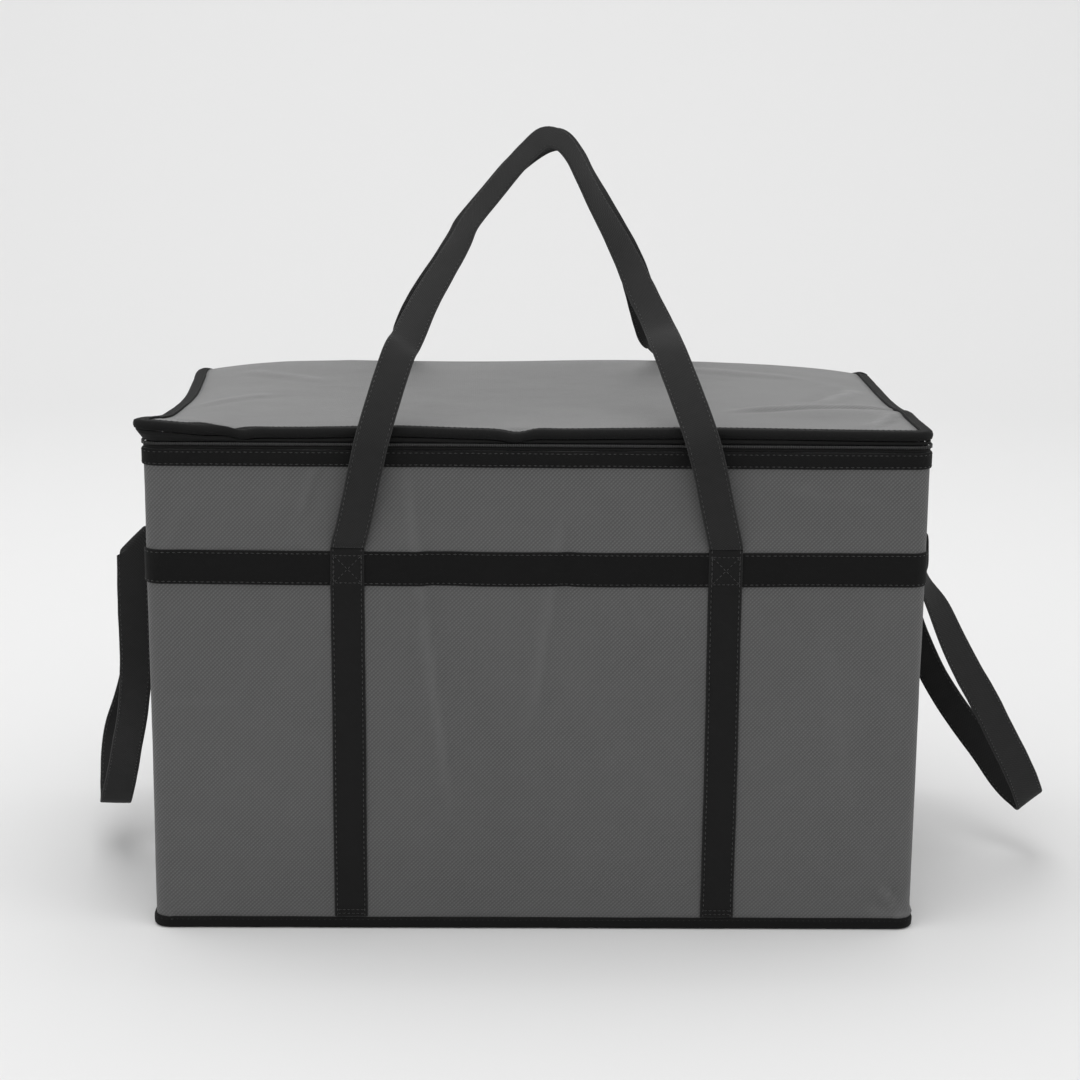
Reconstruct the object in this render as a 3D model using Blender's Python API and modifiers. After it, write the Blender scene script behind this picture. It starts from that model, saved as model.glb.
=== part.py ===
"""Insulated tote bag with padded cloth walls, a zipped lid, black straps and four handles.

Metres, +Z up. The origin is the middle of the base, on the floor. +X runs to the
right along the front, and the front looks along -Y.
"""
import math
from collections import namedtuple

import bmesh
import bpy
from mathutils import Vector

# Body
BODY_WIDTH = 0.587
BODY_DEPTH = 0.354
BODY_HEIGHT = 0.376
BASE_INSET = 0.0008
CORNER_RADIUS = 0.012
CORNER_LAP = 0.008
WALL = 0.004
FRONT_BULGE = 0.006
SIDE_BULGE = 0.004
SIDE_SAG = 0.010

# Tapes and straps
TAPE = 0.0012
STRAP = 0.0018
STRAP_WIDTH = 0.0254
STRAP_SPACING = 0.2826
STRAP_ABOVE_BAND = 0.003
WAIST_BAND_FOOT = 0.2735
WAIST_BAND_WIDTH = 0.0262
RIM_BAND_WIDTH = 0.0125
BASE_BINDING_HEIGHT = 0.0092
BASE_BINDING_SWELL = 0.0006

# Zip and lid
ZIP_TAPE = 0.001
ZIP_TAPE_LOWER = 0.0024
ZIP_TAPE_UPPER = 0.002
ZIP_COIL = 0.0026
SLIDER_LENGTH = 0.012
SLIDER_HEIGHT = 0.007
SLIDER_THICKNESS = 0.0025
SLIDER_FROM_BACK = 0.03
LID = 0.004
LID_OVERHANG = 0.0015
LID_BINDING_WIDTH = 0.009
LID_FOLD_RADIUS = 0.009
LID_CORNER_CURL = 0.006
LID_CORNER_FLARE = 0.0055
LID_CURL_REACH = 0.075

# Handles
HANDLE_RISE = 0.2925
SIDE_HANDLE_SPREAD = 0.17
SIDE_HANDLE_DROP = 0.243
SIDE_HANDLE_REACH = 0.122
SIDE_TAB = 0.028
SIDE_TURN = 0.005
FOLD_LAYERS = 0.006

# Clearances
GAP = 0.0003
BUTT_GAP = 0.0006
LID_UNDER_GAP = 0.0009
TAB_GAP = 0.0007
WALL_FOOT = 0.0006

HALF_WIDTH = BODY_WIDTH / 2
HALF_DEPTH = BODY_DEPTH / 2
STRAP_X = STRAP_SPACING / 2
WAIST_BAND_TOP = WAIST_BAND_FOOT + WAIST_BAND_WIDTH
WAIST_BAND_MIDDLE = WAIST_BAND_FOOT + WAIST_BAND_WIDTH / 2
STRAP_TOP = WAIST_BAND_TOP + STRAP_ABOVE_BAND
STRAP_FOOT = BASE_BINDING_HEIGHT + BUTT_GAP
RAMP_FOOT = WAIST_BAND_FOOT - STRAP_WIDTH / 4
RIM_BAND_FOOT = BODY_HEIGHT - RIM_BAND_WIDTH
OVER_BAND = GAP + TAPE + GAP
COIL_FOOT = BODY_HEIGHT + GAP + ZIP_TAPE_LOWER + GAP
COIL_MIDDLE = COIL_FOOT + ZIP_COIL / 2
UPPER_TAPE_FOOT = COIL_FOOT + ZIP_COIL + GAP
ZIP_TOP = UPPER_TAPE_FOOT + ZIP_TAPE_UPPER
LID_TOP = ZIP_TOP + GAP + TAPE + LID_UNDER_GAP + LID
LID_REACH = LID_OVERHANG - TAPE - GAP

CLOTH = ((0.12, 0.12, 0.12), 0.85)
LID_CLOTH = ((0.14, 0.14, 0.14), 0.85)
BLACK_TAPE = ((0.012, 0.012, 0.012), 0.8)
ZIP_BLACK = ((0.008, 0.008, 0.008), 0.5)

# A face of the body: quarter turns from the front, half its width, how far out it
# stands, how far it swells, and its dents
Face = namedtuple("Face", "quarter half reach bulge dents")

# A place on the body's outline: spot and outward normal in plan, and the face it is
# on, with how far along that face it is
Station = namedtuple("Station", "spot normal face along")

# A dent in a face: its middle as shares of the face's half width and of the body's
# height, its half length and half width as shares of the height, its lean from
# upright in degrees, and its depth as a share of the wall
Dent = namedtuple("Dent", "along up long wide lean depth")

# A hump in the lid: its middle as shares of the half width and half depth, its half
# length and half width as shares of the half depth, its turn from across in degrees,
# and its rise as a share of the lid's thickness
Hump = namedtuple("Hump", "across back long wide turn rise")

# A bend of a top handle: shares of the strap's distance from the middle, of the half
# depth and of the handle's rise, and the strap's twist in degrees
Bend = namedtuple("Bend", "across back up twist")

# A bend of a side handle: shares of its reach, of half its spread and of its drop, and
# the directions of the strap's width in degrees, up from outwards and round to the back
SideBend = namedtuple("SideBend", "out along drop tilt yaw")

FRONT_DENTS = (
    Dent(-0.26, 0.62, 0.30, 0.05, -8, 0.75),
    Dent(0.06, 0.66, 0.19, 0.05, 5, 0.65),
    Dent(-0.58, 0.91, 0.07, 0.04, 10, 0.45),
    Dent(0.22, 0.30, 0.22, 0.10, -30, 0.40),
    Dent(-0.78, 0.45, 0.16, 0.10, 80, 0.40),
    Dent(0.80, 0.55, 0.24, 0.12, 12, 0.55),
    Dent(0.72, 0.93, 0.05, 0.08, 0, -0.40),
)
BACK_DENTS = (
    Dent(0.30, 0.55, 0.28, 0.06, 10, 0.7),
    Dent(-0.15, 0.60, 0.20, 0.06, -12, 0.6),
    Dent(-0.75, 0.40, 0.22, 0.12, 70, 0.5),
)
RIGHT_DENTS = (
    Dent(-0.20, 0.48, 0.26, 0.10, 6, 0.6),
    Dent(0.45, 0.60, 0.20, 0.08, -15, 0.5),
)
LEFT_DENTS = (
    Dent(0.15, 0.50, 0.26, 0.10, -6, 0.6),
    Dent(-0.45, 0.35, 0.20, 0.08, 20, 0.5),
    Dent(0.15, 1.00, 0.28, 0.36, 0, 2.4),
)
LID_HUMPS = (
    Hump(0.00, 0.05, 0.95, 0.75, 0, -0.75),
    Hump(-0.36, -0.92, 0.26, 0.30, 0, 0.45),
    Hump(0.42, -0.95, 0.50, 0.40, 0, 0.40),
    Hump(0.84, -0.45, 0.42, 0.14, 12, 0.75),
    Hump(-0.83, -0.20, 0.45, 0.16, 100, 0.45),
    Hump(0.25, 0.85, 0.60, 0.30, 0, 0.95),
    Hump(-0.55, 0.85, 0.60, 0.30, 0, 0.40),
)

FRONT_BENDS = (
    Bend(-0.962, -1.045, 0.070, 0),
    Bend(-0.900, -1.070, 0.207, 0),
    Bend(-0.848, -1.060, 0.312, 3),
    Bend(-0.747, -0.880, 0.468, 8),
    Bend(-0.694, -0.720, 0.514, 18),
    Bend(-0.614, -0.530, 0.589, 34),
    Bend(-0.521, -0.380, 0.660, 42),
    Bend(-0.438, -0.270, 0.724, 48),
    Bend(-0.378, -0.200, 0.776, 56),
    Bend(-0.270, -0.150, 0.843, 54),
    Bend(-0.136, -0.115, 0.922, 54),
    Bend(-0.051, -0.095, 0.966, 54),
    Bend(0.038, -0.085, 1.001, 52),
    Bend(0.128, -0.085, 0.993, 55),
    Bend(0.193, -0.090, 0.957, 60),
    Bend(0.250, -0.100, 0.906, 60),
    Bend(0.328, -0.120, 0.833, 56),
    Bend(0.416, -0.160, 0.760, 48),
    Bend(0.499, -0.220, 0.685, 38),
    Bend(0.567, -0.320, 0.616, 28),
    Bend(0.653, -0.500, 0.534, 24),
    Bend(0.710, -0.780, 0.474, 12),
    Bend(0.838, -1.060, 0.312, 0),
    Bend(0.900, -1.070, 0.207, 0),
    Bend(0.965, -1.045, 0.070, 0),
)
BACK_BENDS = (
    Bend(-0.960, 1.045, 0.070, 0),
    Bend(-0.905, 1.070, 0.205, 0),
    Bend(-0.822, 1.060, 0.322, 5),
    Bend(-0.785, 0.860, 0.378, 4),
    Bend(-0.752, 0.640, 0.433, 8),
    Bend(-0.669, 0.490, 0.523, 24),
    Bend(-0.568, 0.340, 0.611, 40),
    Bend(-0.470, 0.230, 0.698, 50),
    Bend(-0.411, 0.170, 0.755, 54),
    Bend(-0.284, 0.125, 0.831, 54),
    Bend(-0.149, 0.095, 0.909, 54),
    Bend(-0.032, 0.085, 0.960, 50),
    Bend(0.063, 0.085, 0.987, 48),
    Bend(0.142, 0.085, 0.987, 50),
    Bend(0.225, 0.085, 0.946, 58),
    Bend(0.283, 0.090, 0.896, 60),
    Bend(0.365, 0.110, 0.822, 52),
    Bend(0.444, 0.150, 0.748, 42),
    Bend(0.525, 0.210, 0.670, 30),
    Bend(0.587, 0.300, 0.595, 18),
    Bend(0.642, 0.440, 0.509, 10),
    Bend(0.707, 0.630, 0.416, 4),
    Bend(0.768, 0.850, 0.380, 5),
    Bend(0.845, 1.060, 0.322, 0),
    Bend(0.905, 1.070, 0.205, 0),
    Bend(0.960, 1.045, 0.070, 0),
)
FOLD_APEX = FOLD_LAYERS / 4
# Rows of a diagonal fold: how far along the strap's way in, how far towards the layer
# that hangs, how far down, and the row's tilt in degrees
FOLD = (
    (-(STRAP_WIDTH + SIDE_TURN) / 2, 0.0, 0.0, 90),
    (-STRAP_WIDTH / 4, 0.0, 0.0, 67),
    (-FOLD_APEX, FOLD_LAYERS / 8, 0.0, 45),
    (0.0, FOLD_LAYERS / 2, -FOLD_APEX, 45),
    (0.0, FOLD_LAYERS * 7 / 8, FOLD_APEX, 45),
    (0.0, FOLD_LAYERS, STRAP_WIDTH / 4, 23),
    (0.0, FOLD_LAYERS, STRAP_WIDTH * 0.65, 0),
)
# How far a side handle's inner edge stands off the band at its front and back folds,
# or none where the fold lies flat on the wall
RIGHT_FOLDS = (None, None)
LEFT_FOLDS = (0.0015, None)
RIGHT_BENDS = (
    SideBend(0.056, -1.00, 0.125, 0, 65),
    SideBend(0.154, -0.98, 0.214, -10, 45),
    SideBend(0.273, -0.90, 0.339, -20, 34),
    SideBend(0.395, -0.80, 0.451, -25, 28),
    SideBend(0.545, -0.66, 0.576, -28, 22),
    SideBend(0.698, -0.48, 0.718, -30, 16),
    SideBend(0.841, -0.28, 0.846, -32, 8),
    SideBend(0.949, -0.08, 0.960, -36, 0),
    SideBend(0.974, 0.03, 0.995, -40, 0),
    SideBend(0.944, 0.13, 0.990, -38, -6),
    SideBend(0.841, 0.28, 0.947, -34, -12),
    SideBend(0.695, 0.52, 0.851, -32, -20),
    SideBend(0.520, 0.75, 0.738, -31, -26),
    SideBend(0.386, 0.90, 0.633, -30, -30),
    SideBend(0.254, 0.99, 0.490, -22, -36),
    SideBend(0.140, 1.01, 0.320, -12, -48),
    SideBend(0.070, 1.00, 0.170, -4, -70),
)
LEFT_BENDS = (
    SideBend(0.120, -1.07, 0.196, 0, 0),
    SideBend(0.123, -1.03, 0.300, 0, 0),
    SideBend(0.127, -0.98, 0.400, 0, 0),
    SideBend(0.149, -0.90, 0.515, -4, 8),
    SideBend(0.192, -0.75, 0.634, -7, 14),
    SideBend(0.244, -0.58, 0.739, -8, 16),
    SideBend(0.324, -0.30, 0.891, -6, 10),
    SideBend(0.386, -0.08, 0.990, -3, 0),
    SideBend(0.406, 0.04, 1.010, 0, 0),
    SideBend(0.418, 0.16, 0.995, 0, -4),
    SideBend(0.435, 0.34, 0.945, 0, -10),
    SideBend(0.453, 0.60, 0.875, 0, -16),
    SideBend(0.440, 0.75, 0.810, 2, -18),
    SideBend(0.388, 0.87, 0.725, 4, -18),
    SideBend(0.340, 0.95, 0.630, 5, -16),
    SideBend(0.292, 1.01, 0.520, 2, -24),
    SideBend(0.187, 1.02, 0.350, 0, -42),
    SideBend(0.088, 1.00, 0.180, 0, -68),
)

FRONT = Face(0, HALF_WIDTH - CORNER_RADIUS, HALF_DEPTH, FRONT_BULGE, FRONT_DENTS)
RIGHT = Face(1, HALF_DEPTH - CORNER_RADIUS, HALF_WIDTH, SIDE_BULGE, RIGHT_DENTS)
BACK = Face(2, HALF_WIDTH - CORNER_RADIUS, HALF_DEPTH, FRONT_BULGE, BACK_DENTS)
LEFT = Face(3, HALF_DEPTH - CORNER_RADIUS, HALF_WIDTH, SIDE_BULGE, LEFT_DENTS)

CORNER_STEPS = 3
PATH_STEPS = 2


def clear_scene():
    for item in list(bpy.data.objects):
        bpy.data.objects.remove(item, do_unlink=True)


def make_collection(name):
    collection = bpy.data.collections.new(name)
    bpy.context.scene.collection.children.link(collection)
    return collection


def make_material(name, look):
    colour, roughness = look
    material = bpy.data.materials.new(name)
    material.use_nodes = True
    shader = material.node_tree.nodes["Principled BSDF"]
    shader.inputs["Base Color"].default_value = (*colour, 1.0)
    shader.inputs["Roughness"].default_value = roughness
    shader.inputs["Metallic"].default_value = 0.0
    return material


def add_object(name, data, look):
    item = bpy.data.objects.new(name, data)
    data.materials.append(make_material(name, look))
    BAG.objects.link(item)
    return item


def spaced(start, end, count):
    """Evenly spaced stops from start to end, both kept."""
    return [start + (end - start) * step / count for step in range(count + 1)]


def mirrored(stops):
    """The stops and their mirror images, in order, with zero only once."""
    return sorted({-stop for stop in stops} | set(stops))


def axes(face):
    """Plan directions out of a face and along it, anticlockwise round the body."""
    angle = math.radians(90 * face.quarter)
    along = Vector((math.cos(angle), math.sin(angle)))
    outward = Vector((math.sin(angle), -math.cos(angle)))
    return outward, along


def on_face(face, distance):
    """Station on the flat of a face, at a distance from its middle."""
    outward, along = axes(face)
    return Station(outward * face.reach + along * distance, outward, face, distance)


def on_corner(face, angle):
    """Station on the corner that ends a face, at an angle round from that face."""
    outward, along = axes(face)
    turn = math.radians(angle)
    normal = outward * math.cos(turn) + along * math.sin(turn)
    centre = outward * (face.reach - CORNER_RADIUS) + along * face.half
    return Station(centre + normal * CORNER_RADIUS, normal, face, face.half)


def corner_stations(face):
    """Stations round the corner that ends a face, without the two flat ends."""
    step = 90 / CORNER_STEPS
    return [on_corner(face, step * index) for index in range(1, CORNER_STEPS)]


def smooth(share):
    share = min(max(share, 0.0), 1.0)
    return share * share * (3 - 2 * share)


def settle(spot):
    """How far the rim hangs low at a place in plan: along the sides, and more at the back."""
    back = spot[1] / HALF_DEPTH
    across = min(abs(spot[0]) / HALF_WIDTH, 1.0)
    return SIDE_SAG * smooth((back + 1) / 1.3) * across ** 6


def swell(station, height):
    """How far the wall stands out of its flat, from its bulge less its dents."""
    face = station.face
    share = station.along / face.half
    up = min(max(height / BODY_HEIGHT, 0.0), 1.0)
    total = face.bulge * (1 - share * share) ** 2 * math.sin(math.pi * up)
    for dent in face.dents:
        lean = math.radians(dent.lean)
        aside = station.along - dent.along * face.half
        above = height - dent.up * BODY_HEIGHT
        run = (above * math.cos(lean) - aside * math.sin(lean)) / (dent.long * BODY_HEIGHT)
        width = (aside * math.cos(lean) + above * math.sin(lean)) / (dent.wide * BODY_HEIGHT)
        total -= dent.depth * WALL * math.exp(-run * run - width * width)
    # A corner is stiff, so the swell fades out towards it
    return total * smooth((1 - abs(share)) * face.half / (4 * CORNER_RADIUS))


def wall_point(station, height, out=0.0):
    """Point of the wall's outer face at a height, moved outwards."""
    share = height / BODY_HEIGHT
    offset = out + swell(station, height) - BASE_INSET * (1 - min(share, 1.0))
    spot = station.spot + station.normal * offset
    return Vector((spot.x, spot.y, height - settle(station.spot) * share ** 3))


def grid_object(name, columns, rows, place, look, thickness, side, even=True):
    """Open grid with corner (i, j) at place(i, j), thickened to one side of itself."""
    shape = bmesh.new()
    bmesh.ops.create_grid(shape, x_segments=columns - 1, y_segments=rows - 1, size=1.0)
    for vertex in shape.verts:
        i = round((vertex.co.x + 1) / 2 * (columns - 1))
        j = round((vertex.co.y + 1) / 2 * (rows - 1))
        vertex.co = place(i, j)
    bmesh.ops.remove_doubles(shape, verts=shape.verts, dist=0.00002)
    mesh = bpy.data.meshes.new(name)
    shape.to_mesh(mesh)
    shape.free()
    mesh.shade_smooth()
    item = add_object(name, mesh, look)
    split = item.modifiers.new("Triangles", "TRIANGULATE")
    split.quad_method = "FIXED"
    shell = item.modifiers.new("Thickness", "SOLIDIFY")
    shell.thickness = thickness
    shell.offset = side
    shell.use_even_offset = even
    return item


def wall_sheet(name, stations, levels, look, thickness, side):
    """Piece of the wall, or a tape on it: levels holds each row's height and offset."""
    def place(i, j):
        return wall_point(stations[i], *levels[j])
    return grid_object(name, len(stations), len(levels), place, look, thickness, side)


def face_stops(face, marks, steps):
    """Distances along a face, with its marks and even steps between them."""
    edges = [0.0, *marks, face.half]
    half = set()
    for start, end in zip(edges[::2], edges[1::2]):
        half |= set(spaced(start, end, steps))
    return mirrored(half)


STRAP_EDGES = (STRAP_X - STRAP_WIDTH / 2, STRAP_X + STRAP_WIDTH / 2)
WIDE_STOPS = face_stops(FRONT, STRAP_EDGES, 3)
NARROW_STOPS = mirrored(spaced(0.0, RIGHT.half - CORNER_LAP, 4))


def wide_wall_stations(face, before):
    """A front or back panel: its face, both corners and a lap on each side wall."""
    after = {FRONT: RIGHT, BACK: LEFT}[face]
    start = on_face(before, before.half - CORNER_LAP)
    end = on_face(after, CORNER_LAP - after.half)
    first_corner = [on_face(before, before.half), *corner_stations(before)]
    flat = [on_face(face, stop) for stop in WIDE_STOPS]
    last_corner = [*corner_stations(face), on_face(after, -after.half)]
    return [start, *first_corner, *flat, *last_corner, end]


def narrow_wall_stations(face):
    """A side panel, which butts to the laps of its neighbours."""
    ends = NARROW_STOPS[-1] - BUTT_GAP
    stops = [-ends, *NARROW_STOPS[1:-1], ends]
    return [on_face(face, stop) for stop in stops]


def ring_stations():
    """The whole outline, anticlockwise, with the first station again at the end."""
    ring = []
    for face in (FRONT, RIGHT, BACK, LEFT):
        if face in (FRONT, BACK):
            stops = WIDE_STOPS
        else:
            stops = [-face.half, *NARROW_STOPS, face.half]
        ring += [on_face(face, stop) for stop in stops]
        ring += corner_stations(face)
    return [*ring, ring[0]]


def zip_stations():
    """The outline from the back of the left wall, round the front, to that of the right."""
    left = [on_face(LEFT, stop) for stop in (-LEFT.half, *NARROW_STOPS, LEFT.half)]
    front = [on_face(FRONT, stop) for stop in WIDE_STOPS]
    right = [on_face(RIGHT, stop) for stop in (-RIGHT.half, *NARROW_STOPS, RIGHT.half)]
    return [*left, *corner_stations(LEFT), *front, *corner_stations(FRONT), *right]


def make_walls():
    heights = [
        WALL_FOOT, STRAP_FOOT, *spaced(STRAP_FOOT, RAMP_FOOT, 5)[1:], WAIST_BAND_FOOT,
        WAIST_BAND_TOP, STRAP_TOP, (STRAP_TOP + RIM_BAND_FOOT) / 2, RIM_BAND_FOOT, BODY_HEIGHT,
    ]
    levels = [(height, 0.0) for height in heights]
    wall_sheet("front_panel", wide_wall_stations(FRONT, LEFT), levels, CLOTH, WALL, -1)
    wall_sheet("back_panel", wide_wall_stations(BACK, RIGHT), levels, CLOTH, WALL, -1)
    wall_sheet("left_panel", narrow_wall_stations(LEFT), levels, CLOTH, WALL, -1)
    wall_sheet("right_panel", narrow_wall_stations(RIGHT), levels, CLOTH, WALL, -1)


def make_base():
    """Flat slab that fills the outline inside the walls' feet."""
    inset = BASE_INSET + WALL + BUTT_GAP
    outline = bpy.data.curves.new("base_panel", "CURVE")
    outline.dimensions = "2D"
    outline.fill_mode = "BOTH"
    outline.extrude = WALL / 2
    ring = ring_stations()[:-1]
    edge = outline.splines.new("POLY")
    edge.points.add(len(ring) - 1)
    for point, station in zip(edge.points, ring):
        spot = station.spot - station.normal * inset
        point.co = (spot.x, spot.y, 0.0, 1.0)
    edge.use_cyclic_u = True
    base = add_object("base_panel", outline, CLOTH)
    base.location.z = WALL / 2


def make_tapes():
    ring = ring_stations()
    waist = ((WAIST_BAND_FOOT, GAP), (WAIST_BAND_TOP, GAP))
    rim = ((RIM_BAND_FOOT, GAP), (BODY_HEIGHT, GAP))
    binding = (
        (WALL_FOOT, GAP),
        (BASE_BINDING_HEIGHT / 2, GAP + BASE_BINDING_SWELL),
        (BASE_BINDING_HEIGHT, GAP),
    )
    wall_sheet("waist_band", ring, waist, BLACK_TAPE, TAPE, 1)
    wall_sheet("rim_band", ring, rim, BLACK_TAPE, TAPE, 1)
    wall_sheet("base_binding", ring, binding, BLACK_TAPE, TAPE, 1)


def make_straps():
    """Upright straps, which climb over the waist band and stop just above it."""
    levels = [(height, GAP) for height in spaced(STRAP_FOOT, RAMP_FOOT, 5)]
    levels += [(height, OVER_BAND) for height in (WAIST_BAND_FOOT, WAIST_BAND_TOP, STRAP_TOP)]
    for face, label in ((FRONT, "front_strap"), (BACK, "back_strap")):
        for side, middle in (("left", -STRAP_X), ("right", STRAP_X)):
            along = middle if face is FRONT else -middle
            edges = (along - STRAP_WIDTH / 2, along + STRAP_WIDTH / 2)
            stations = [on_face(face, edge) for edge in edges]
            wall_sheet(f"{label}_{side}", stations, levels, BLACK_TAPE, STRAP, 1)


def lid_edge(back, face):
    """How far the lid reaches over a side wall at a distance back, round the back corners."""
    inside = min(abs(back), face.half)
    seat = on_face(face, math.copysign(inside, back) * axes(face)[1].y)
    reach = HALF_WIDTH + LID_REACH + swell(seat, BODY_HEIGHT)
    into = back - (HALF_DEPTH - CORNER_RADIUS)
    if into <= 0:
        return reach
    drop = CORNER_RADIUS - math.sqrt(max(CORNER_RADIUS ** 2 - into ** 2, 0.0))
    return reach - drop - GAP


def lid_rise(x, y):
    """How far the lid stands above its flat level, from its humps, curl and low corners."""
    total = -settle((x, y))
    for hump in LID_HUMPS:
        turn = math.radians(hump.turn)
        aside = x - hump.across * HALF_WIDTH
        behind = y - hump.back * HALF_DEPTH
        run = (aside * math.cos(turn) + behind * math.sin(turn)) / (hump.long * HALF_DEPTH)
        width = (behind * math.cos(turn) - aside * math.sin(turn)) / (hump.wide * HALF_DEPTH)
        total += hump.rise * LID * math.exp(-run * run - width * width)
    return total + LID_CORNER_CURL * corner_curl(x, y)


def corner_curl(x, y):
    """Share of the front left corner's curl, from 0 inside the lid to 1 at the corner."""
    far = Vector((x + HALF_WIDTH, y + HALF_DEPTH)).length
    return smooth(1 - far / LID_CURL_REACH)


def lid_columns():
    inner = HALF_WIDTH + LID_OVERHANG - LID_BINDING_WIDTH
    curl = HALF_WIDTH - LID_CURL_REACH / 2
    half = [*spaced(0.0, curl, 5), inner, HALF_WIDTH + LID_REACH]
    return mirrored(half)


def lid_rows():
    """Each row's distance back and its drop over the fold at the back."""
    front = HALF_DEPTH + LID_REACH
    inner = HALF_DEPTH + LID_OVERHANG - LID_BINDING_WIDTH
    fold = HALF_DEPTH - LID_FOLD_RADIUS
    curl = HALF_DEPTH - LID_CURL_REACH / 2
    flat = [-front, -inner, *spaced(-curl, fold - LID_CURL_REACH / 2, 5), fold]
    rows = [(back, 0.0) for back in flat]
    for angle in (30, 60, 90):
        turn = math.radians(angle)
        back = fold + LID_FOLD_RADIUS * math.sin(turn)
        rows.append((back, LID_FOLD_RADIUS * (1 - math.cos(turn))))
    rows.append((HALF_DEPTH, LID_TOP - BODY_HEIGHT - GAP))
    return rows


COLUMNS = lid_columns()
ROWS = lid_rows()


def lid_point(i, j):
    """Corner of the lid's upper face, at a column and a row."""
    back, drop = ROWS[j]
    x = COLUMNS[i] * lid_edge(back, RIGHT if COLUMNS[i] > 0 else LEFT) / COLUMNS[-1]
    y = back
    if j == 0 and i in (0, len(COLUMNS) - 1):
        cut = LID_BINDING_WIDTH * (1 - math.cos(math.radians(45)))
        x -= math.copysign(cut, x)
        y += cut
    flare = LID_CORNER_FLARE * corner_curl(x, y)
    share = 1 - drop / (LID_TOP - BODY_HEIGHT)
    rise = lid_rise(x, y) if share > 0.05 else -settle((x, y))
    return Vector((x - flare, y - flare / 2, LID_TOP - drop + rise))


def make_lid():
    grid_object("lid_panel", len(COLUMNS), len(ROWS), lid_point, LID_CLOTH, LID, -1)


def lid_edge_path(lowest):
    """Grid places along the lid's edge, round the front, as far as a drop at the back."""
    end = sum(drop <= lowest for back, drop in ROWS) - 1
    right = len(COLUMNS) - 1
    left_side = [(0, j, 1, max(j, 1)) for j in range(end, 0, -1)]
    front = [(i, 0, min(max(i, 1), right - 1), 1) for i in range(right + 1)]
    right_side = [(right, j, right - 1, max(j, 1)) for j in range(1, end + 1)]
    return [*left_side, *front, *right_side]


def make_lid_binding():
    """Tape folded round the lid's edge: over the top, down the edge and back under."""
    path = lid_edge_path(0.0)

    def place(i, j):
        edge_i, edge_j, inner_i, inner_j = path[i]
        edge = lid_point(edge_i, edge_j)
        inner = lid_point(inner_i, inner_j)
        outward = Vector((edge.x - inner.x, edge.y - inner.y, 0.0)).normalized()
        level = GAP if j < 2 else -LID - LID_UNDER_GAP
        spot = inner if j in (0, 3) else edge + outward * GAP
        return spot + Vector((0.0, 0.0, level))
    grid_object("lid_binding", len(path), 4, place, BLACK_TAPE, TAPE, -1)


def make_zip():
    stations = zip_stations()
    lower = ((BODY_HEIGHT + GAP, -ZIP_TAPE), (BODY_HEIGHT + GAP + ZIP_TAPE_LOWER, -ZIP_TAPE))
    wall_sheet("zip_tape_lower", stations, lower, ZIP_BLACK, ZIP_TAPE, 1)

    edge = lid_edge_path(0.0)

    def place_upper(i, j):
        column, row = edge[i][:2]
        point = lid_point(column, row)
        if j:
            return point + Vector((0.0, 0.0, ZIP_TOP - LID_TOP - BUTT_GAP))
        flare = LID_CORNER_FLARE * corner_curl(point.x, point.y)
        foot = UPPER_TAPE_FOOT - settle(point)
        return Vector((point.x + flare, point.y + flare / 2, foot))
    grid_object("zip_tape_upper", len(edge), 2, place_upper, ZIP_BLACK, ZIP_TAPE, -1)

    coil = bpy.data.curves.new("zip_coil", "CURVE")
    coil.dimensions = "3D"
    coil.bevel_depth = ZIP_COIL / 2
    coil.bevel_resolution = 1
    coil.use_fill_caps = True
    line = coil.splines.new("POLY")
    line.points.add(len(stations) - 1)
    for point, station in zip(line.points, stations):
        point.co = (*wall_point(station, COIL_MIDDLE), 1.0)
    add_object("zip_coil", coil, ZIP_BLACK)

    slider_shape = bmesh.new()
    bmesh.ops.create_cube(slider_shape, size=1.0)
    size = Vector((SLIDER_THICKNESS, SLIDER_LENGTH, SLIDER_HEIGHT))
    bmesh.ops.scale(slider_shape, vec=size, verts=slider_shape.verts)
    mesh = bpy.data.meshes.new("zip_slider")
    slider_shape.to_mesh(mesh)
    slider_shape.free()
    slider = add_object("zip_slider", mesh, ZIP_BLACK)
    out = ZIP_COIL / 2 + 2 * GAP + SLIDER_THICKNESS / 2
    seat = on_face(RIGHT, RIGHT.half - SLIDER_FROM_BACK)
    slider.location = wall_point(seat, COIL_MIDDLE, out)
    edges = slider.modifiers.new("Rounding", "BEVEL")
    edges.width = SLIDER_THICKNESS / 4
    edges.segments = 2


def smooth_path(points):
    """Points of a smooth curve through the given rows of numbers."""
    rows = [Vector(point) for point in points]
    ends = [rows[0] * 2 - rows[1], *rows, rows[-1] * 2 - rows[-2]]
    path = []
    for before, start, end, after in zip(ends, ends[1:], ends[2:], ends[3:]):
        for step in range(PATH_STEPS):
            t = step / PATH_STEPS
            linear = (end - before) * t
            square = (before * 2 - start * 5 + end * 4 - after) * t * t
            cube = (start * 3 - before - end * 3 + after) * t ** 3
            path.append(start + (linear + square + cube) / 2)
    return [*path, rows[-1]]


def directions(points):
    """Direction of travel at each point of a path."""
    ends = [points[0], *points, points[-1]]
    return [(after - before).normalized() for before, after in zip(ends, ends[2:])]


def ribbon(name, points, widths):
    """Strap along points, with its width along the given directions."""
    def place(i, j):
        return points[i] + widths[i] * (j - 0.5) * STRAP_WIDTH
    grid_object(name, len(points), 2, place, BLACK_TAPE, STRAP, 0, even=False)


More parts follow.
